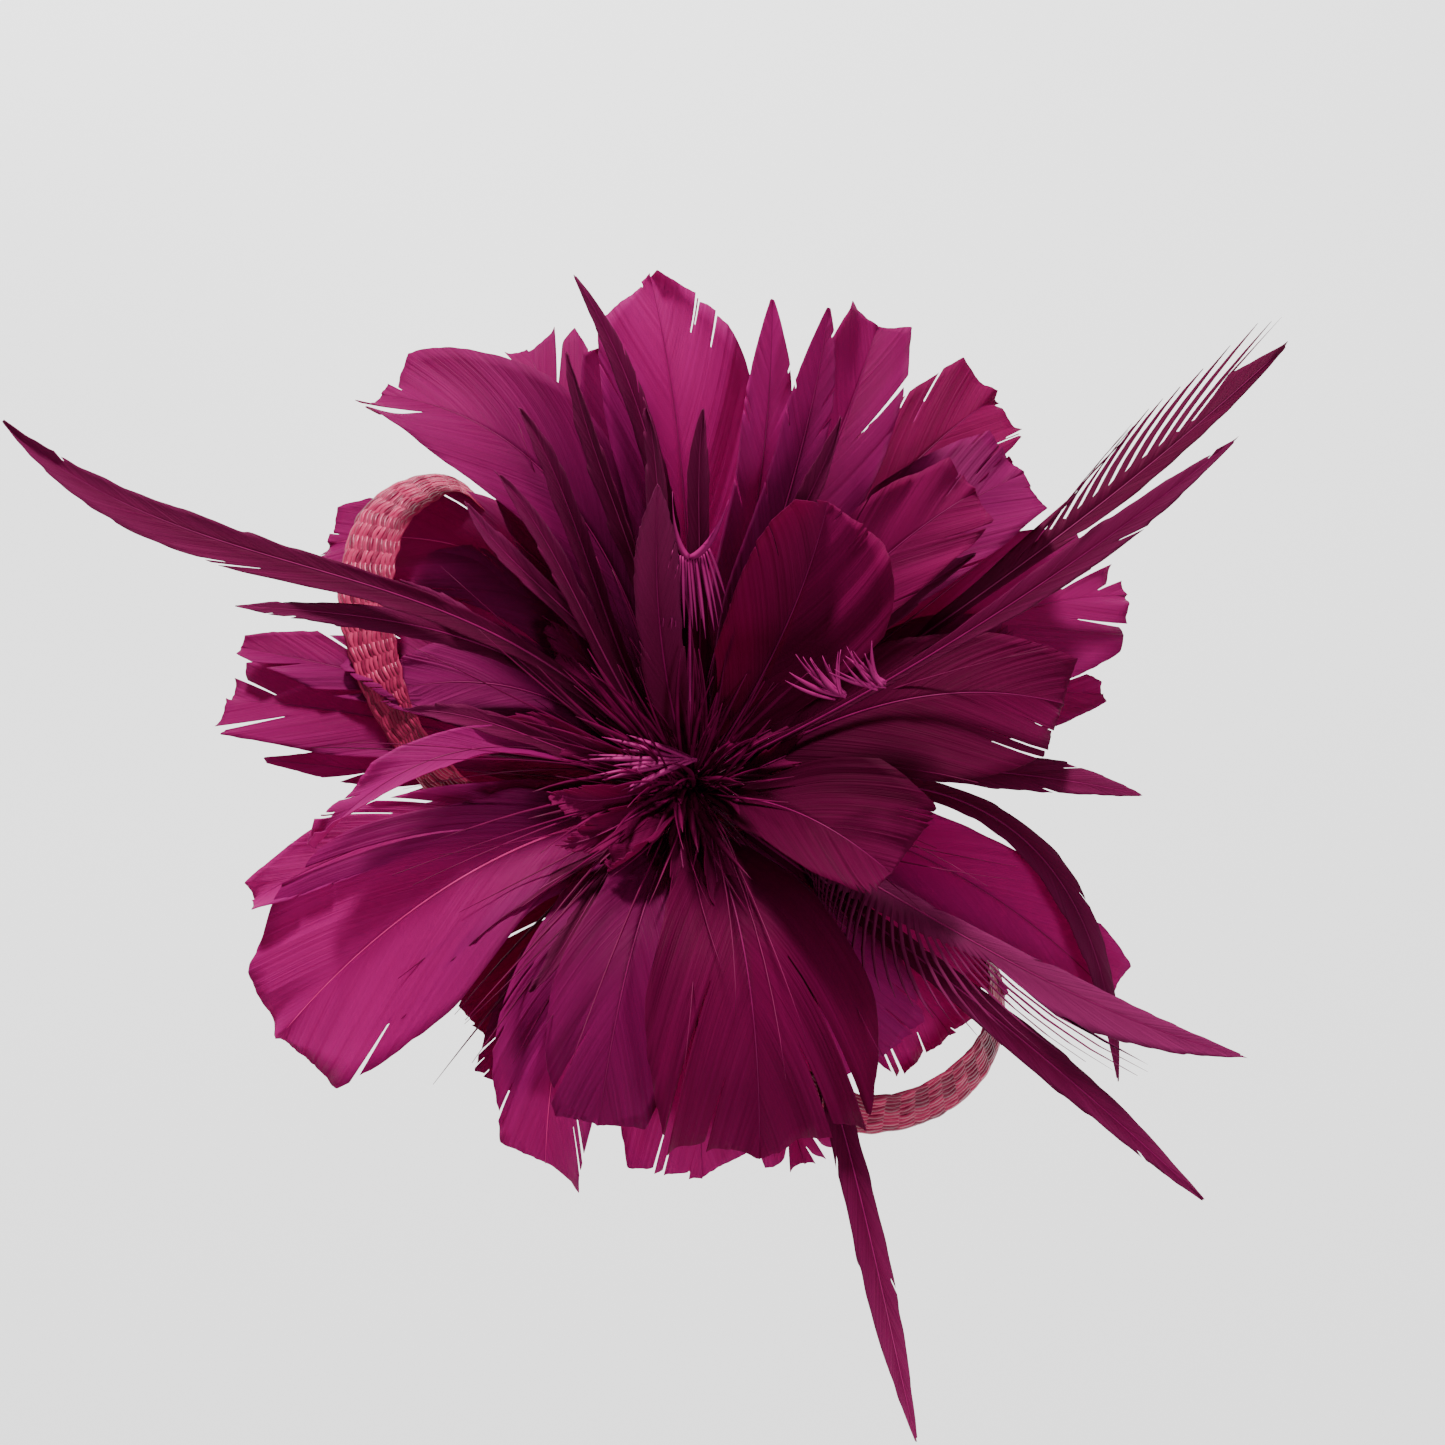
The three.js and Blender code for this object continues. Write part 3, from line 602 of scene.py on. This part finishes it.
# name, direction, reach, tip height, bows, sweeps, left widths, right widths, turn, cup, root height
PETALS = [
    (("outer_petal_01", 15, 83, 11, (13, 13), (4, 4), (5, 7, 2), (6, 10, 2), 0, 1, 8), PAINTED_HALF_LIT_DYE, {}),
    (("outer_petal_02", 25, 94, 18, (19, 19), (4, 4), (9, 16, 12), (10, 18, 9), 0, 3, 9.5), PAINTED_HALF_LIT_DYE,
     {"slits": slits(left=[(0.62, 0.35, 3), (0.76, 0.4, 4), (0.88, 0.5, 3)], right=[(0.7, 0.6, 1.5)]),
      "slant": (-0.5, -0.7), "tone": 0.1}),
    (("outer_petal_03", 58, 90, 30, (8, 8), (0, 0), (3, 4, 2), (3, 4, 2), 0, 0, 8), PAINTED_LIT_DYE, {}),
    (("outer_petal_04", 144, 89, 16, (18, 16), (-16, -20), (9, 12, 8), (8, 11, 8), 0, 2, 9), PAINTED_HALF_LIT_DYE,
     {"slant": (0.1, -0.1), "stem": PINK_SHAFT}),
    (("outer_petal_05", 161.5, 92, 16, (11, 9), (-1, -1), (5, 6, 2), (5, 7, 2), 0, 1, 9.5), PAINTED_HALF_LIT_DYE,
     {"slits": slits(left=[(0.55, 0.3, 3), (0.8, 0.3, 2.5)], right=[(0.6, 0.4, 2)])}),
    (("outer_petal_06", 167.5, 92, 12, (11, 11), (0, 0), (7, 9, 8), (7, 10, 8), 0, 1, 8), PAINTED_HALF_LIT_DYE,
     {"slits": slits(left=[(0.75, 0.4, 2)], right=[(0.5, 0.5, 2), (0.82, 0.35, 2.5)])}),
    (("outer_petal_07", 175, 82, 12, (5, 5), (4, 2), (3, 3, 0.3), (3, 4, 0.3), 0, 0, 9), PAINTED_HALF_LIT_DYE,
     {"slits": slits(left=[(0.5, 0.2, 3), (0.7, 0.2, 3)], right=[(0.55, 0.2, 3)])}),
    (("outer_petal_08", -164, 84, 16, (13, 13), (-4, -4), (5, 6, 3), (5, 7, 3), 0, 2, 9), PAINTED_LIT_DYE, {}),
    (("outer_petal_09", -148, 89, 8, (22, 20), (-4, -4), (12, 21, 15), (11, 20, 9), 0, 3, 11), PAINTED_LIT_DYE,
     {"slant": (-0.30, -0.35), "slits": slits(left=[(0.35, 0.75, 1.5)], right=[(0.2, 0.35, 4)]),
      "stem": PINK_SHAFT}),
    (("outer_petal_10", -110, 75, 8, (21, 21), (-7, -7), (7, 10, 7), (8, 11, 7), 0, 2, 9), PAINTED_LIT_DYE,
     {"slant": (0.5, -0.4), "stem": PINK_SHAFT}),
    (("outer_petal_11", -88, 72, 4, (16, 16), (0, 0), (8, 14, 12), (9, 15, 13), 0, 2, 8), PAINTED_LIT_DYE,
     {"slant": (-0.5, -0.2)}),
    (("outer_petal_12", -73, 72, 2, (4, 4), (0, 0), (5, 8, 7), (5, 8, 7), 0, 1, 8), PAINTED_LIT_DYE,
     {"tone": 0.3, "slits": slits(left=[(0.8, 0.5, 3), (0.9, 0.6, 2)], right=[(0.85, 0.5, 3)])}),
    (("outer_petal_13", -44, 67, 8, (16, 16), (0, 0), (9, 14, 13), (10, 16, 13), 0, 2, 9), PAINTED_LIT_DYE,
     {"slant": (0.1, -0.2)}),
    (("outer_petal_14", -28, 88, 13, (19, 19), (5, 5), (7, 9, 5), (8, 12, 4), 0, 3, 10), PAINTED_LIT_DYE,
     {"slant": (-0.4, -0.2), "slits": slits(left=[(0.6, 0.8, 1)])}),
    (("middle_petal_01", 40, 82, 42, (16, 16), (4, 4), (8, 12, 10), (8, 12, 9), 0, 2, 11), PAINTED_HALF_LIT_DYE, {}),
    (("middle_petal_02", 51, 94, 37, (15, 17), (4, 4), (9, 11, 9), (9, 13, 10), 0, 3, 12), PAINTED_SHADE_DYE,
     {"slant": (-0.1, -0.5)}),
    (("middle_petal_03", 65, 83, 58, (17, 12), (-3, -4), (7, 9, 6), (7, 9, 6), 12, 3, 14), PAINTED_HALF_LIT_DYE,
     {"slits": slits(left=[(0.5, 0.4, 3)], right=[(0.6, 0.4, 2)]), "slant": (0.3, 0.1)}),
    (("middle_petal_04", 70, 74, 72, (14, 8), (-4, -5), (6, 4.5, 0.3), (6, 4, 0.3), 0, 0, 16), PAINTED_HALF_LIT_DYE, {}),
    (("middle_petal_05", 78, 73, 72, (8, 8), (-5, -5), (6, 4.5, 0.3), (6, 4.5, 0.3), 0, 0, 12), PAINTED_LIT_DYE, {}),
    (("middle_petal_06", 95, 86, 59, (12, 12), (-4, -4), (9, 13, 10), (11, 15, 1), 0, 3, 12), PAINTED_LIT_DYE,
     {"slant": (-0.85, -0.3)}),
    (("middle_petal_07", 103, 76, 52, (8, 8), (0, 0), (6, 7, 3), (6, 7, 2), 0, 1, 11), PAINTED_HALF_LIT_DYE,
     {"slits": slits(left=[(0.6, 0.3, 3)], right=[(0.5, 0.3, 3), (0.75, 0.4, 2)])}),
    (("middle_petal_08", 111, 89, 38, (16, 16), (0, 0), (8, 12, 11), (7, 11, 10), 0, 2, 10), PAINTED_HALF_LIT_DYE,
     {"slits": slits(left=[(0.62, 0.3, 4), (0.85, 0.4, 3)], right=[(0.55, 0.35, 3), (0.78, 0.3, 4)]),
      "slant": (0.0, 0.0), "tone": 0.15}),
    (("middle_petal_09", 130, 92, 42, (23, 23), (-16, -16), (9, 12, 7), (10, 14, 9), 0, 4, 12), PAINTED_HALF_LIT_DYE,
     {"slits": slits(left=[(0.82, 0.35, 5)], right=[(0.9, 0.7, 2)]), "tone": 0.1}),
    (("middle_petal_10", -103, 69, 22, (21, 21), (-1, -1), (8, 12, 8), (8, 12, 7), 0, 2, 11), PAINTED_HALF_LIT_DYE,
     {"slits": slits(left=[(0.45, 0.45, 2)], right=[(0.6, 0.5, 2)])}),
    (("middle_petal_11", -80, 73, 18, (24, 26), (4, 4), (13, 21, 17), (12, 19, 16), 0, 4, 12), PAINTED_SHADE_DYE,
     {"slits": slits(left=[(0.3, 0.4, 2.5), (0.5, 0.55, 2)], right=[(0.35, 0.4, 3), (0.62, 0.6, 1.5)]),
      "slant": (-0.35, -0.3)}),
    (("middle_petal_12", -165, 70, 30, (16, 16), (-13, -13), (4, 4.5, 0.5), (4, 4, 0.5), 20, 2, 13), PAINTED_LIT_DYE,
     {}),
    (("inner_petal_01", 4, 68, 42, (19, 19), (3, 3), (10, 11, 8), (13, 18, 8), 0, 3, 13.5), PAINTED_DEEP_SHADE_DYE,
     {"slant": (0.1, -0.5)}),
    (("inner_petal_02", 38, 66, 56, (12, 12), (3, 3), (7, 10, 7), (7, 10, 7), 0, 2, 13), PAINTED_SHADE_DYE, {}),
    (("inner_petal_03", 51, 39, 70, (8, 8), (-5, -5), (9, 10, 4), (15, 19, 12), 0, 4, 15.5), PAINTED_SHADE_DYE,
     {"slant": (-0.1, -0.35)}),
    (("inner_petal_04", -40, 46, 46, (14, 13), (0, 0), (10, 15, 14), (8, 10, 6), 0, 3, 16.5), PAINTED_DEEP_SHADE_DYE,
     {"slant": (-0.1, -0.1)}),
    (("under_petal_01", 141, 67, 22, (10, 10), (-6, -8), (7, 9, 4), (7, 9, 4), 0, 2, 11), PAINTED_HALF_LIT_DYE, {}),
    (("under_petal_02", 158, 71, 20, (14, 10), (-3, -3), (9, 11, 4), (9, 11, 4), 0, 2, 13), PAINTED_HALF_LIT_DYE, {}),
    (("under_petal_03", 165, 60, 24, (12, 10), (-8, -8), (7, 9, 3), (7, 9, 3), 0, 2, 14), PAINTED_HALF_LIT_DYE, {}),
    (("under_petal_04", -164, 50, 16, (10, 8), (0, 0), (5, 7, 2), (5, 7, 2), 0, 1, 10), PAINTED_SHADE_DYE, {}),
    (("under_petal_05", -131, 60, 10, (12, 8), (2, 2), (5, 7, 4), (5, 7, 4), 0, 2, 9), PAINTED_SHADE_DYE,
     {"slits": slits(left=[(0.3, 0.3, 2), (0.6, 0.4, 2)], right=[(0.4, 0.3, 2)])}),
    (("under_petal_06", -121, 66, 9, (15, 12), (0, 0), (6, 8, 5), (6, 8, 5), 0, 2, 9), PAINTED_HALF_LIT_DYE, {}),
    (("under_petal_07", -56, 63, 14, (16, 12), (0, 0), (8, 12, 9), (8, 12, 9), 0, 2, 10), PAINTED_LIT_DYE, {}),
    (("under_petal_08", 43, 84, 38, (14, 14), (4, 4), (7, 10, 7), (7, 10, 7), 0, 2, 12), PAINTED_SHADE_DYE, {}),
    (("under_petal_09", 20, 66, 28, (14, 10), (0, 0), (8, 11, 6), (8, 11, 6), 0, 2, 11), PAINTED_SHADE_DYE, {}),
    (("under_petal_10", 120, 66, 40, (12, 10), (0, 0), (7, 9, 6), (7, 9, 6), 0, 2, 11), PAINTED_HALF_LIT_DYE, {}),
]
DYE_SLOTS = {PAINTED_LIT_DYE: "petal_bright", PAINTED_HALF_LIT_DYE: "petal", PAINTED_SHADE_DYE: "petal_dark", PAINTED_DEEP_SHADE_DYE: "petal_dark"}
for number, (row, dye, changes) in enumerate(PETALS):
    make_feather(row, dye, DYE_SLOTS[dye], number + 11,
                 **{"slits": random_slits(number, 3), **changes})

# ---------- hackles ----------
# Long narrow cock's feathers, dyed darker, which stand out past the petals. Some are stripped smooth, and
# some have their barbs combed apart on one side.
HACKLE = {"barbs": 150, "rows": 5, "lean": (1.6, 2.6, 5.0), "curve": 0.6, "ragged": 0.04, "ripple": 0.2,
          "slant": (0, 0), "shaft": (0.32, 0.06)}
HACKLES = [
    (("hackle_01", 156.5, 137, 57, (26, -4), (-14, 12), (3, 5, 0.2), (2, 3, 0.2), 0, 1, 18.5), {}),
    (("hackle_02", 165, 85, 47, (14, 4), (-14, -9), (2, 2.5, 0.2), (2, 2.5, 0.2), 0, 0, 15), {}),
    (("hackle_03", 105, 81, 70, (10, 10), (-8, -9), (2, 2, 0.2), (2, 2, 0.2), 0, 0, 15), {}),
    (("hackle_04", 35, 140, 44, (10, 8), (-8, -8), (2, 6, 0.2), (1, 2.5, 0.2), 0, 0, 16),
     {"comb": slits(left=[(0.42, 0.78, 9, 22)]), "clump": 4, "barbs": 130, "tone": -0.8}),
    (("hackle_05", 19, 97, 88, (8, 3), (-8, -6), (1, 3, 0.2), (1, 3, 0.2), 0, 0, 19), {}),
    (("hackle_06", -8, 82, 38, (12, 8), (3, 3), (3, 4, 0.2), (2, 3, 0.2), 0, 0, 12), {}),
    (("hackle_07", -36, 96, 12, (26, 22), (24, 36), (2, 3, 0.2), (2, 3, 0.2), 0, 0, 12), {}),
    (("hackle_08", -32, 112, 37, (13, 10), (-2, -12), (2, 3, 0.2), (3, 5, 0.2), 0, 0, 13),
     {"comb": slits(right=[(0.08, 0.50, 16, 6)]), "tone": 0.5}),
    (("hackle_09", -43, 120, 28, (14, 8), (-2, 1), (2, 3, 0.2), (2, 3, 0.2), 0, 0, 14.5), {}),
    (("hackle_10", -73, 128, 33, (30, -36), (10, 8), (2, 2.5, 0.2), (2, 3, 0.2), 0, 0, 10.5), {}),
    (("hackle_11", 100, 27, 82, (0, 0), (3, 3), (4, 4, 0.2), (4, 4, 0.2), 0, 0, 17), {"tone": 0.35}),
]
for number, (row, changes) in enumerate(HACKLES):
    make_feather(row, NIGHT, "hackle", number + 61,
                 **{**HACKLE, "slits": random_slits(number + 50, 2), **changes})

# ---------- stem ----------
# The quills' cut ends, packed into a round bundle and dipped in glue, with four close turns of waxed thread
# round its foot.
STEM_LOW, STEM_TOP = 4.9, 21.0
QUILL_HALF = 0.58
stem = bmesh.new()
for ring in range(4):
    for number in range(max(1, ring * 6)):
        turn = 2 * math.pi * number / max(1, ring * 6) + ring * 0.3
        middle = np.array([math.cos(turn), math.sin(turn), 0]) * ring * 1.13
        top = STEM_TOP - ring * 0.6 - (number * 7 % 5) * 0.3

        def on_quill(share, angle):
            half = QUILL_HALF * (1 if share < 0.9 else 0.7)
            return Vector((middle[0] + math.cos(angle) * half, middle[1] + math.sin(angle) * half,
                           STEM_LOW + (top - STEM_LOW) * share)) * MM

        bent_rod(stem, 8, 6, on_quill)
place_piece("quill_bundle", stem, [SHAFT], replaces=["stem_core"])

TURNS, PITCH, COIL_RADIUS = 4, 0.5, 4.95
coil = bmesh.new()


def on_coil(share, angle):
    turn = 2 * math.pi * TURNS * share
    wide = COIL_RADIUS + math.cos(angle) * 0.25
    return Vector((math.cos(turn) * wide, math.sin(turn) * wide,
                   STEM_LOW + 0.25 + PITCH * TURNS * share + math.sin(angle) * 0.25)) * MM


bent_rod(coil, 7, 36 * TURNS, on_coil)
place_piece("thread_coil", coil, [THREAD], replaces=["stem_binding"])

# ---------- heart ----------
# Where the quills meet, short feathers, down and stray barbs stand up round the bundle and hide it. The short
# feathers take the painted-shade petal dye, and the down's dark dye is in part painted shade for the deep
# heart. A few long barbs have come loose and lie over the petals, and small stiff plumes show pale against
# the dark; their pale dye is in part a painted satin highlight.
HEART_FEATHERS = 15
DOWN_BARBS, STRAY_BARBS = 170, 70

chance = np.random.default_rng(41)
for number in range(HEART_FEATHERS):
    azimuth = 58 + number * 23 + chance.uniform(-6, 6)
    reach = chance.uniform(24, 40)
    row = (f"heart_feather_{number + 1:02d}", azimuth, reach, 46 - reach * 0.45, (8, 6),
           (chance.uniform(-5, 5), chance.uniform(-7, 7)), (2.2, 3.2, 0.3), (2.2, 3.2, 0.3),
           chance.uniform(-50, 50), 1.5, 17)
    make_feather(row, PAINTED_SHADE_DYE, "petal_dark", number + 90, barbs=90, rows=6, ragged=0.08, lean=(2.4, 3.0, 4.0),
                 slits=random_slits(number + 70, 3))

# direction, reach, tip height and sideways sweep of the narrow dark feathers among the petals
SPIRES = [(119, 64, 60, 6), (109, 67, 66, -5), (98, 55, 64, 4), (135, 58, 52, -8), (128, 56, 56, 5),
          (87, 52, 66, -3), (151, 60, 42, 6), (60, 54, 70, 5), (-122, 52, 26, -4), (-97, 48, 28, 4),
          (-68, 46, 30, -5), (-138, 58, 24, 6), (30, 60, 52, -4), (172, 52, 34, 5)]
for number, (azimuth, reach, tip, sweep) in enumerate(SPIRES):
    row = (f"spire_{number + 1:02d}", azimuth, reach, tip, (9, 7), (sweep, -sweep * 0.5), (1.8, 2.3, 0.2),
           (1.5, 2, 0.2), chance.uniform(-40, 40), 0.6, 15)
    make_feather(row, NIGHT, "hackle", number + 120, **{**HACKLE, "barbs": 90, "rows": 4, "ragged": 0.08})


def wisp(shell, start, aim, bend, width, twist=0.0):
    """One flat tapering barb from its start along aim, bowed over by bend at its tip."""
    start, aim, bend = (np.array(v, float) for v in (start, aim, bend))
    side = np.cross(aim, (0, 0, 1.0))
    side /= np.linalg.norm(side)
    top = np.cross(side, aim / np.linalg.norm(aim))

    def on_wisp(share, angle):
        wide = side * math.cos(twist * share) + top * math.sin(twist * share)
        thick = top * math.cos(twist * share) - side * math.sin(twist * share)
        across = width * (0.5 + share) * max(0.04, 1 - share ** 2.2)
        return Vector((start + aim * share + bend * share ** 2 + wide * math.cos(angle) * across
                       + thick * math.sin(angle) * 0.09) * MM)

    bent_rod(shell, 5, 9, on_wisp)


def stray(shell, chance, heights, rises, lengths, widths, droop):
    """A barb in a chance direction out of the bundle."""
    angle = chance.uniform(0, 2 * math.pi)
    rise = math.radians(chance.uniform(*rises))
    out = np.array([math.cos(angle), math.sin(angle), 0])
    side = np.array([-math.sin(angle), math.cos(angle), 0])
    up = np.array([0, 0, 1.0])
    length = chance.uniform(*lengths)
    wisp(shell, out * chance.uniform(0.5, 4.2) + up * chance.uniform(*heights),
         (out * math.cos(rise) + up * math.sin(rise)) * length,
         (out * 0.4 - up * 0.6) * chance.uniform(0, droop) + side * length * chance.uniform(-0.25, 0.25),
         chance.uniform(*widths), chance.uniform(-1.5, 1.5))


down = bmesh.new()
for _ in range(DOWN_BARBS):
    stray(down, chance, (14, 20.5), (25, 82), (14, 40), (0.25, 0.9), 14)
for _ in range(STRAY_BARBS):
    stray(down, chance, (15, 20), (18, 50), (38, 72), (0.14, 0.34), 26)


def barb_finish(name, shade, light):
    """Loose barbs and down, mottled between two dyes."""
    finish, tree = new_finish(name)
    place = node(tree, "ShaderNodeTexCoord", {}, {}, 3)
    mottle = noise(tree, place, 160, 3)
    close_finish(tree, node(tree, "ShaderNodeBsdfPrincipled", {}, {
        "Base Color": blend_colours(tree, mottle, shade, light),
        "Roughness": mottle * 0.2 + 0.4,
        "Specular IOR Level": 0.07,
    }))
    return finish


long_barbs = [(-142, 62), (-137, 66), (-133, 58), (-128, 70), (-124, 64), (-119, 60), (172, 74), (178, 66),
              (-172, 72), (104, 48), (96, 42), (118, 46), (-64, 52), (-84, 44), (-98, 40), (150, 56)]
for azimuth, length in long_barbs:
    angle = math.radians(azimuth)
    wisp(down, (math.cos(angle) * 4, math.sin(angle) * 4, chance.uniform(15, 19)),
         (math.cos(angle) * length, math.sin(angle) * length, chance.uniform(14, 24)),
         (0, 0, -chance.uniform(10, 22)), chance.uniform(0.35, 0.6), chance.uniform(-1, 1))

# The down's dye, from nearly black to dark wine, is in part painted shade for the shaded heart.
place_piece("heart_down", down, [barb_finish("heart_down", (0.03, 0.0003, 0.008), (0.17, 0.001, 0.055))])

plumes = bmesh.new()
for number in range(12):
    angle = math.radians(146 + number * 6.5)
    length = 11 + 7 * math.sin(math.pi * (number + 0.5) / 12) + chance.uniform(-2.5, 2.5)
    wisp(plumes, (1.5 - number % 3, -1.5, 31 + number % 2 * 0.6),
         (math.cos(angle) * length, math.sin(angle) * length * 0.8, chance.uniform(-1, 2)),
         (0, 0, -1.5), 0.62, chance.uniform(-0.8, 0.8))
for middle in ((26.5, -2.6, 60), (33.5, -1.4, 62)):
    for number in range(12):
        share = number / 11
        root = (middle[0] + chance.uniform(-1, 1), middle[1] + chance.uniform(-1, 1), middle[2] + share)
        wisp(plumes, root,
             (-8 + 4 * share + chance.uniform(-2.5, 2.5), 1 + share * 3 + chance.uniform(-1.5, 1.5), 1.5),
             (2 * share, 2 + chance.uniform(-2, 2), 2), chance.uniform(0.3, 0.7), chance.uniform(0.2, 1.6))
fold = (0.3, 26, 58)
wisp(plumes, (0, 3, 19), (0.3, 18, 31), (0, 5, 8), 0.4)
wisp(plumes, fold, (-6, 3, 1), (3, 7, 5), 1.1, 1.8)
wisp(plumes, fold, (8, 1, 2), (-1, 5, 8), 1.1, -1.8)
for number in range(16):
    aside = -3.4 + number * 0.45
    wisp(plumes, (fold[0] + aside, fold[1] + 0.12 * aside ** 2, fold[2] + 0.1 * aside ** 2),
         (aside * 0.7 + 1, -9 + chance.uniform(-3, 3), -4), (0, -1, -3), chance.uniform(0.25, 0.5),
         chance.uniform(-1, 1))
# The plumes' pale dye is in part a painted satin highlight on the curled barbs.
place_piece("pale_plumes", plumes, [barb_finish("pale_plumes", (0.14, 0.001, 0.050), (0.32, 0.014, 0.14))])

# ---------- braid loops ----------
# Two loops of a flat straw braid, plaited from glossy flattened strands that cross over and under on the
# slant and turn back at the edges. The ends of each are bound into the stem.
LEFT_LOOP = {
    "low": [(-4, 4, 7), (-26, 37, 15), (-47, 64, 22), (-57, 63, 23), (-65, 56, 23), (-68, 45, 23),
            (-68, 34, 23), (-63, 18, 22), (-56, 6, 20), (-47, -4, 17), (-30, -9, 12), (-5, -3, 7)],
    "high": [(-4, 3, 8), (-23, 32, 20), (-45, 57, 28), (-50, 54, 29), (-54, 49, 30), (-56, 40, 30),
             (-56, 31, 30), (-54, 19, 29), (-50, 8, 27), (-41, -2, 24), (-27, -6, 17), (-5, -2, 8)],
}
RIGHT_LOOP = {
    "low": [(3, -5, 9.5), (9, -36, 17), (18, -58, 10), (28, -64, 6), (38, -64, 6), (48, -60, 6),
            (55, -53, 6), (58, -45, 7), (58, -35, 8), (52, -24, 9), (38, -13, 9), (5, -3, 7)],
    "high": [(3, -4, 10.5), (9, -34, 22), (19, -54, 20), (29, -60, 18), (38, -60, 18), (46, -56, 18),
             (52, -50, 18), (54, -44, 18), (54, -36, 18), (48, -25, 17), (36, -14, 14), (5, -2, 8)],
}
STRANDS = 22
STRAND_WIDTH = 0.97
STRAND_THICK = 0.28
STRAND_LIFT = 0.2
PLAIT_LENGTH = 125


def edge_curve(corners, share):
    """A centripetal curve through an edge's points, at shares of the way."""
    points = np.array(corners, float)
    points = np.vstack([2 * points[0] - points[1], points, 2 * points[-1] - points[-2]])
    at = np.clip(np.asarray(share) * (len(corners) - 1), 0, len(corners) - 1.0001)
    k = at.astype(int)
    u = (at - k)[:, None]
    p0, p1, p2, p3 = (points[k + i] for i in range(4))
    d0, d1, d2 = (np.sqrt(np.linalg.norm(b - a, axis=1))[:, None] for a, b in ((p0, p1), (p1, p2), (p2, p3)))
    m1 = ((p1 - p0) / d0 - (p2 - p0) / (d0 + d1) + (p2 - p1) / d1) * d1
    m2 = ((p2 - p1) / d1 - (p3 - p1) / (d1 + d2) + (p3 - p2) / d2) * d1
    return (p1 + m1 * u + (3 * (p2 - p1) - 2 * m1 - m2) * u ** 2 + (2 * (p1 - p2) + m1 + m2) * u ** 3)


def plait(name, edges, node_name, finish):
    """The strands of one loop, crossing over and under between its two edges."""
    fine = np.linspace(0, 1, 1200)
    low, high = edge_curve(edges["low"], fine), edge_curve(edges["high"], fine)
    middle = (low + high) / 2
    travelled = np.concatenate([[0], np.cumsum(np.linalg.norm(np.diff(middle, axis=0), axis=1))])
    length = travelled[-1]
    ahead = np.gradient(middle, axis=0)
    ahead /= np.linalg.norm(ahead, axis=1, keepdims=True)
    over = (high - low) / np.linalg.norm(high - low, axis=1, keepdims=True)
    face = np.cross(ahead, over)
    usual_width = np.linalg.norm(high - low, axis=1).mean()
    steps = int(length / 0.75)
    shell = bmesh.new()
    tones = shell.verts.layers.float.new("tone")
    chance = np.random.default_rng(len(name))
    for strand in range(STRANDS):
        tone = chance.uniform(0, 1)
        wander, waver = chance.uniform(0, 6.28), chance.uniform(0.5, 1.3)

        def on_strand(share, angle):
            gone = share * length
            phase = (gone / PLAIT_LENGTH + strand / STRANDS) % 1
            turned = (1 - math.cos(2 * math.pi * phase)) / 2
            straight = 2 * phase if phase < 0.5 else 2 - 2 * phase
            across = 0.05 + 0.9 * (0.8 * straight + 0.2 * turned) + 0.008 * math.sin(gone * 1.7 + wander)
            rising = 1 if phase < 0.5 else -1
            flip = max(-1, min(1, math.sin(2 * math.pi * phase) * 5))
            lift = STRAND_LIFT * waver * math.cos(2 * math.pi * STRANDS * phase) * flip
            i = min(1199, int(np.searchsorted(travelled, gone)))
            wide = np.linalg.norm(high[i] - low[i])
            lean = 2 * wide / PLAIT_LENGTH * rising * min(1, abs(flip) + 0.1)
            flat = over[i] - ahead[i] * lean
            flat /= np.linalg.norm(flat)
            point = low[i] + (high[i] - low[i]) * across
            return Vector((point + flat * math.cos(angle) * STRAND_WIDTH / 2 * wide / usual_width
                           + face[i] * (math.sin(angle) * STRAND_THICK / 2 + lift)) * MM)

        for v in bent_rod(shell, 6, steps, on_strand):
            v[tones] = tone
    piece = place_piece(name, shell, [finish], replaces=[node_name])
    return piece


straw, tree = new_finish("straw_braid")
place = node(tree, "ShaderNodeTexCoord", {}, {}, 3)
tone = node(tree, "ShaderNodeAttribute", {"attribute_name": "tone"}, {}, 2)
grain = noise(tree, place, 900, 3)
patch = noise(tree, place, 120, 2)
close_finish(tree, node(tree, "ShaderNodeBsdfPrincipled", {}, {
    "Base Color": blend_colours(tree, (grain * 0.4 + tone * 0.75 + patch * 0.4 - 0.3).kept(),
                                (0.07, 0.001, 0.014), (0.40, 0.022, 0.085)),
    "Roughness": grain * 0.2 + 0.26,
    "Specular IOR Level": 0.22,
    "Specular Tint": (1, 0.35, 0.5, 1),
    "Normal": bumped(tree, grain, 0.0002, 0.4),
}))
plait("left_braid", LEFT_LOOP, "left_braid_loop", straw)
plait("right_braid", RIGHT_LOOP, "right_braid_loop", straw)
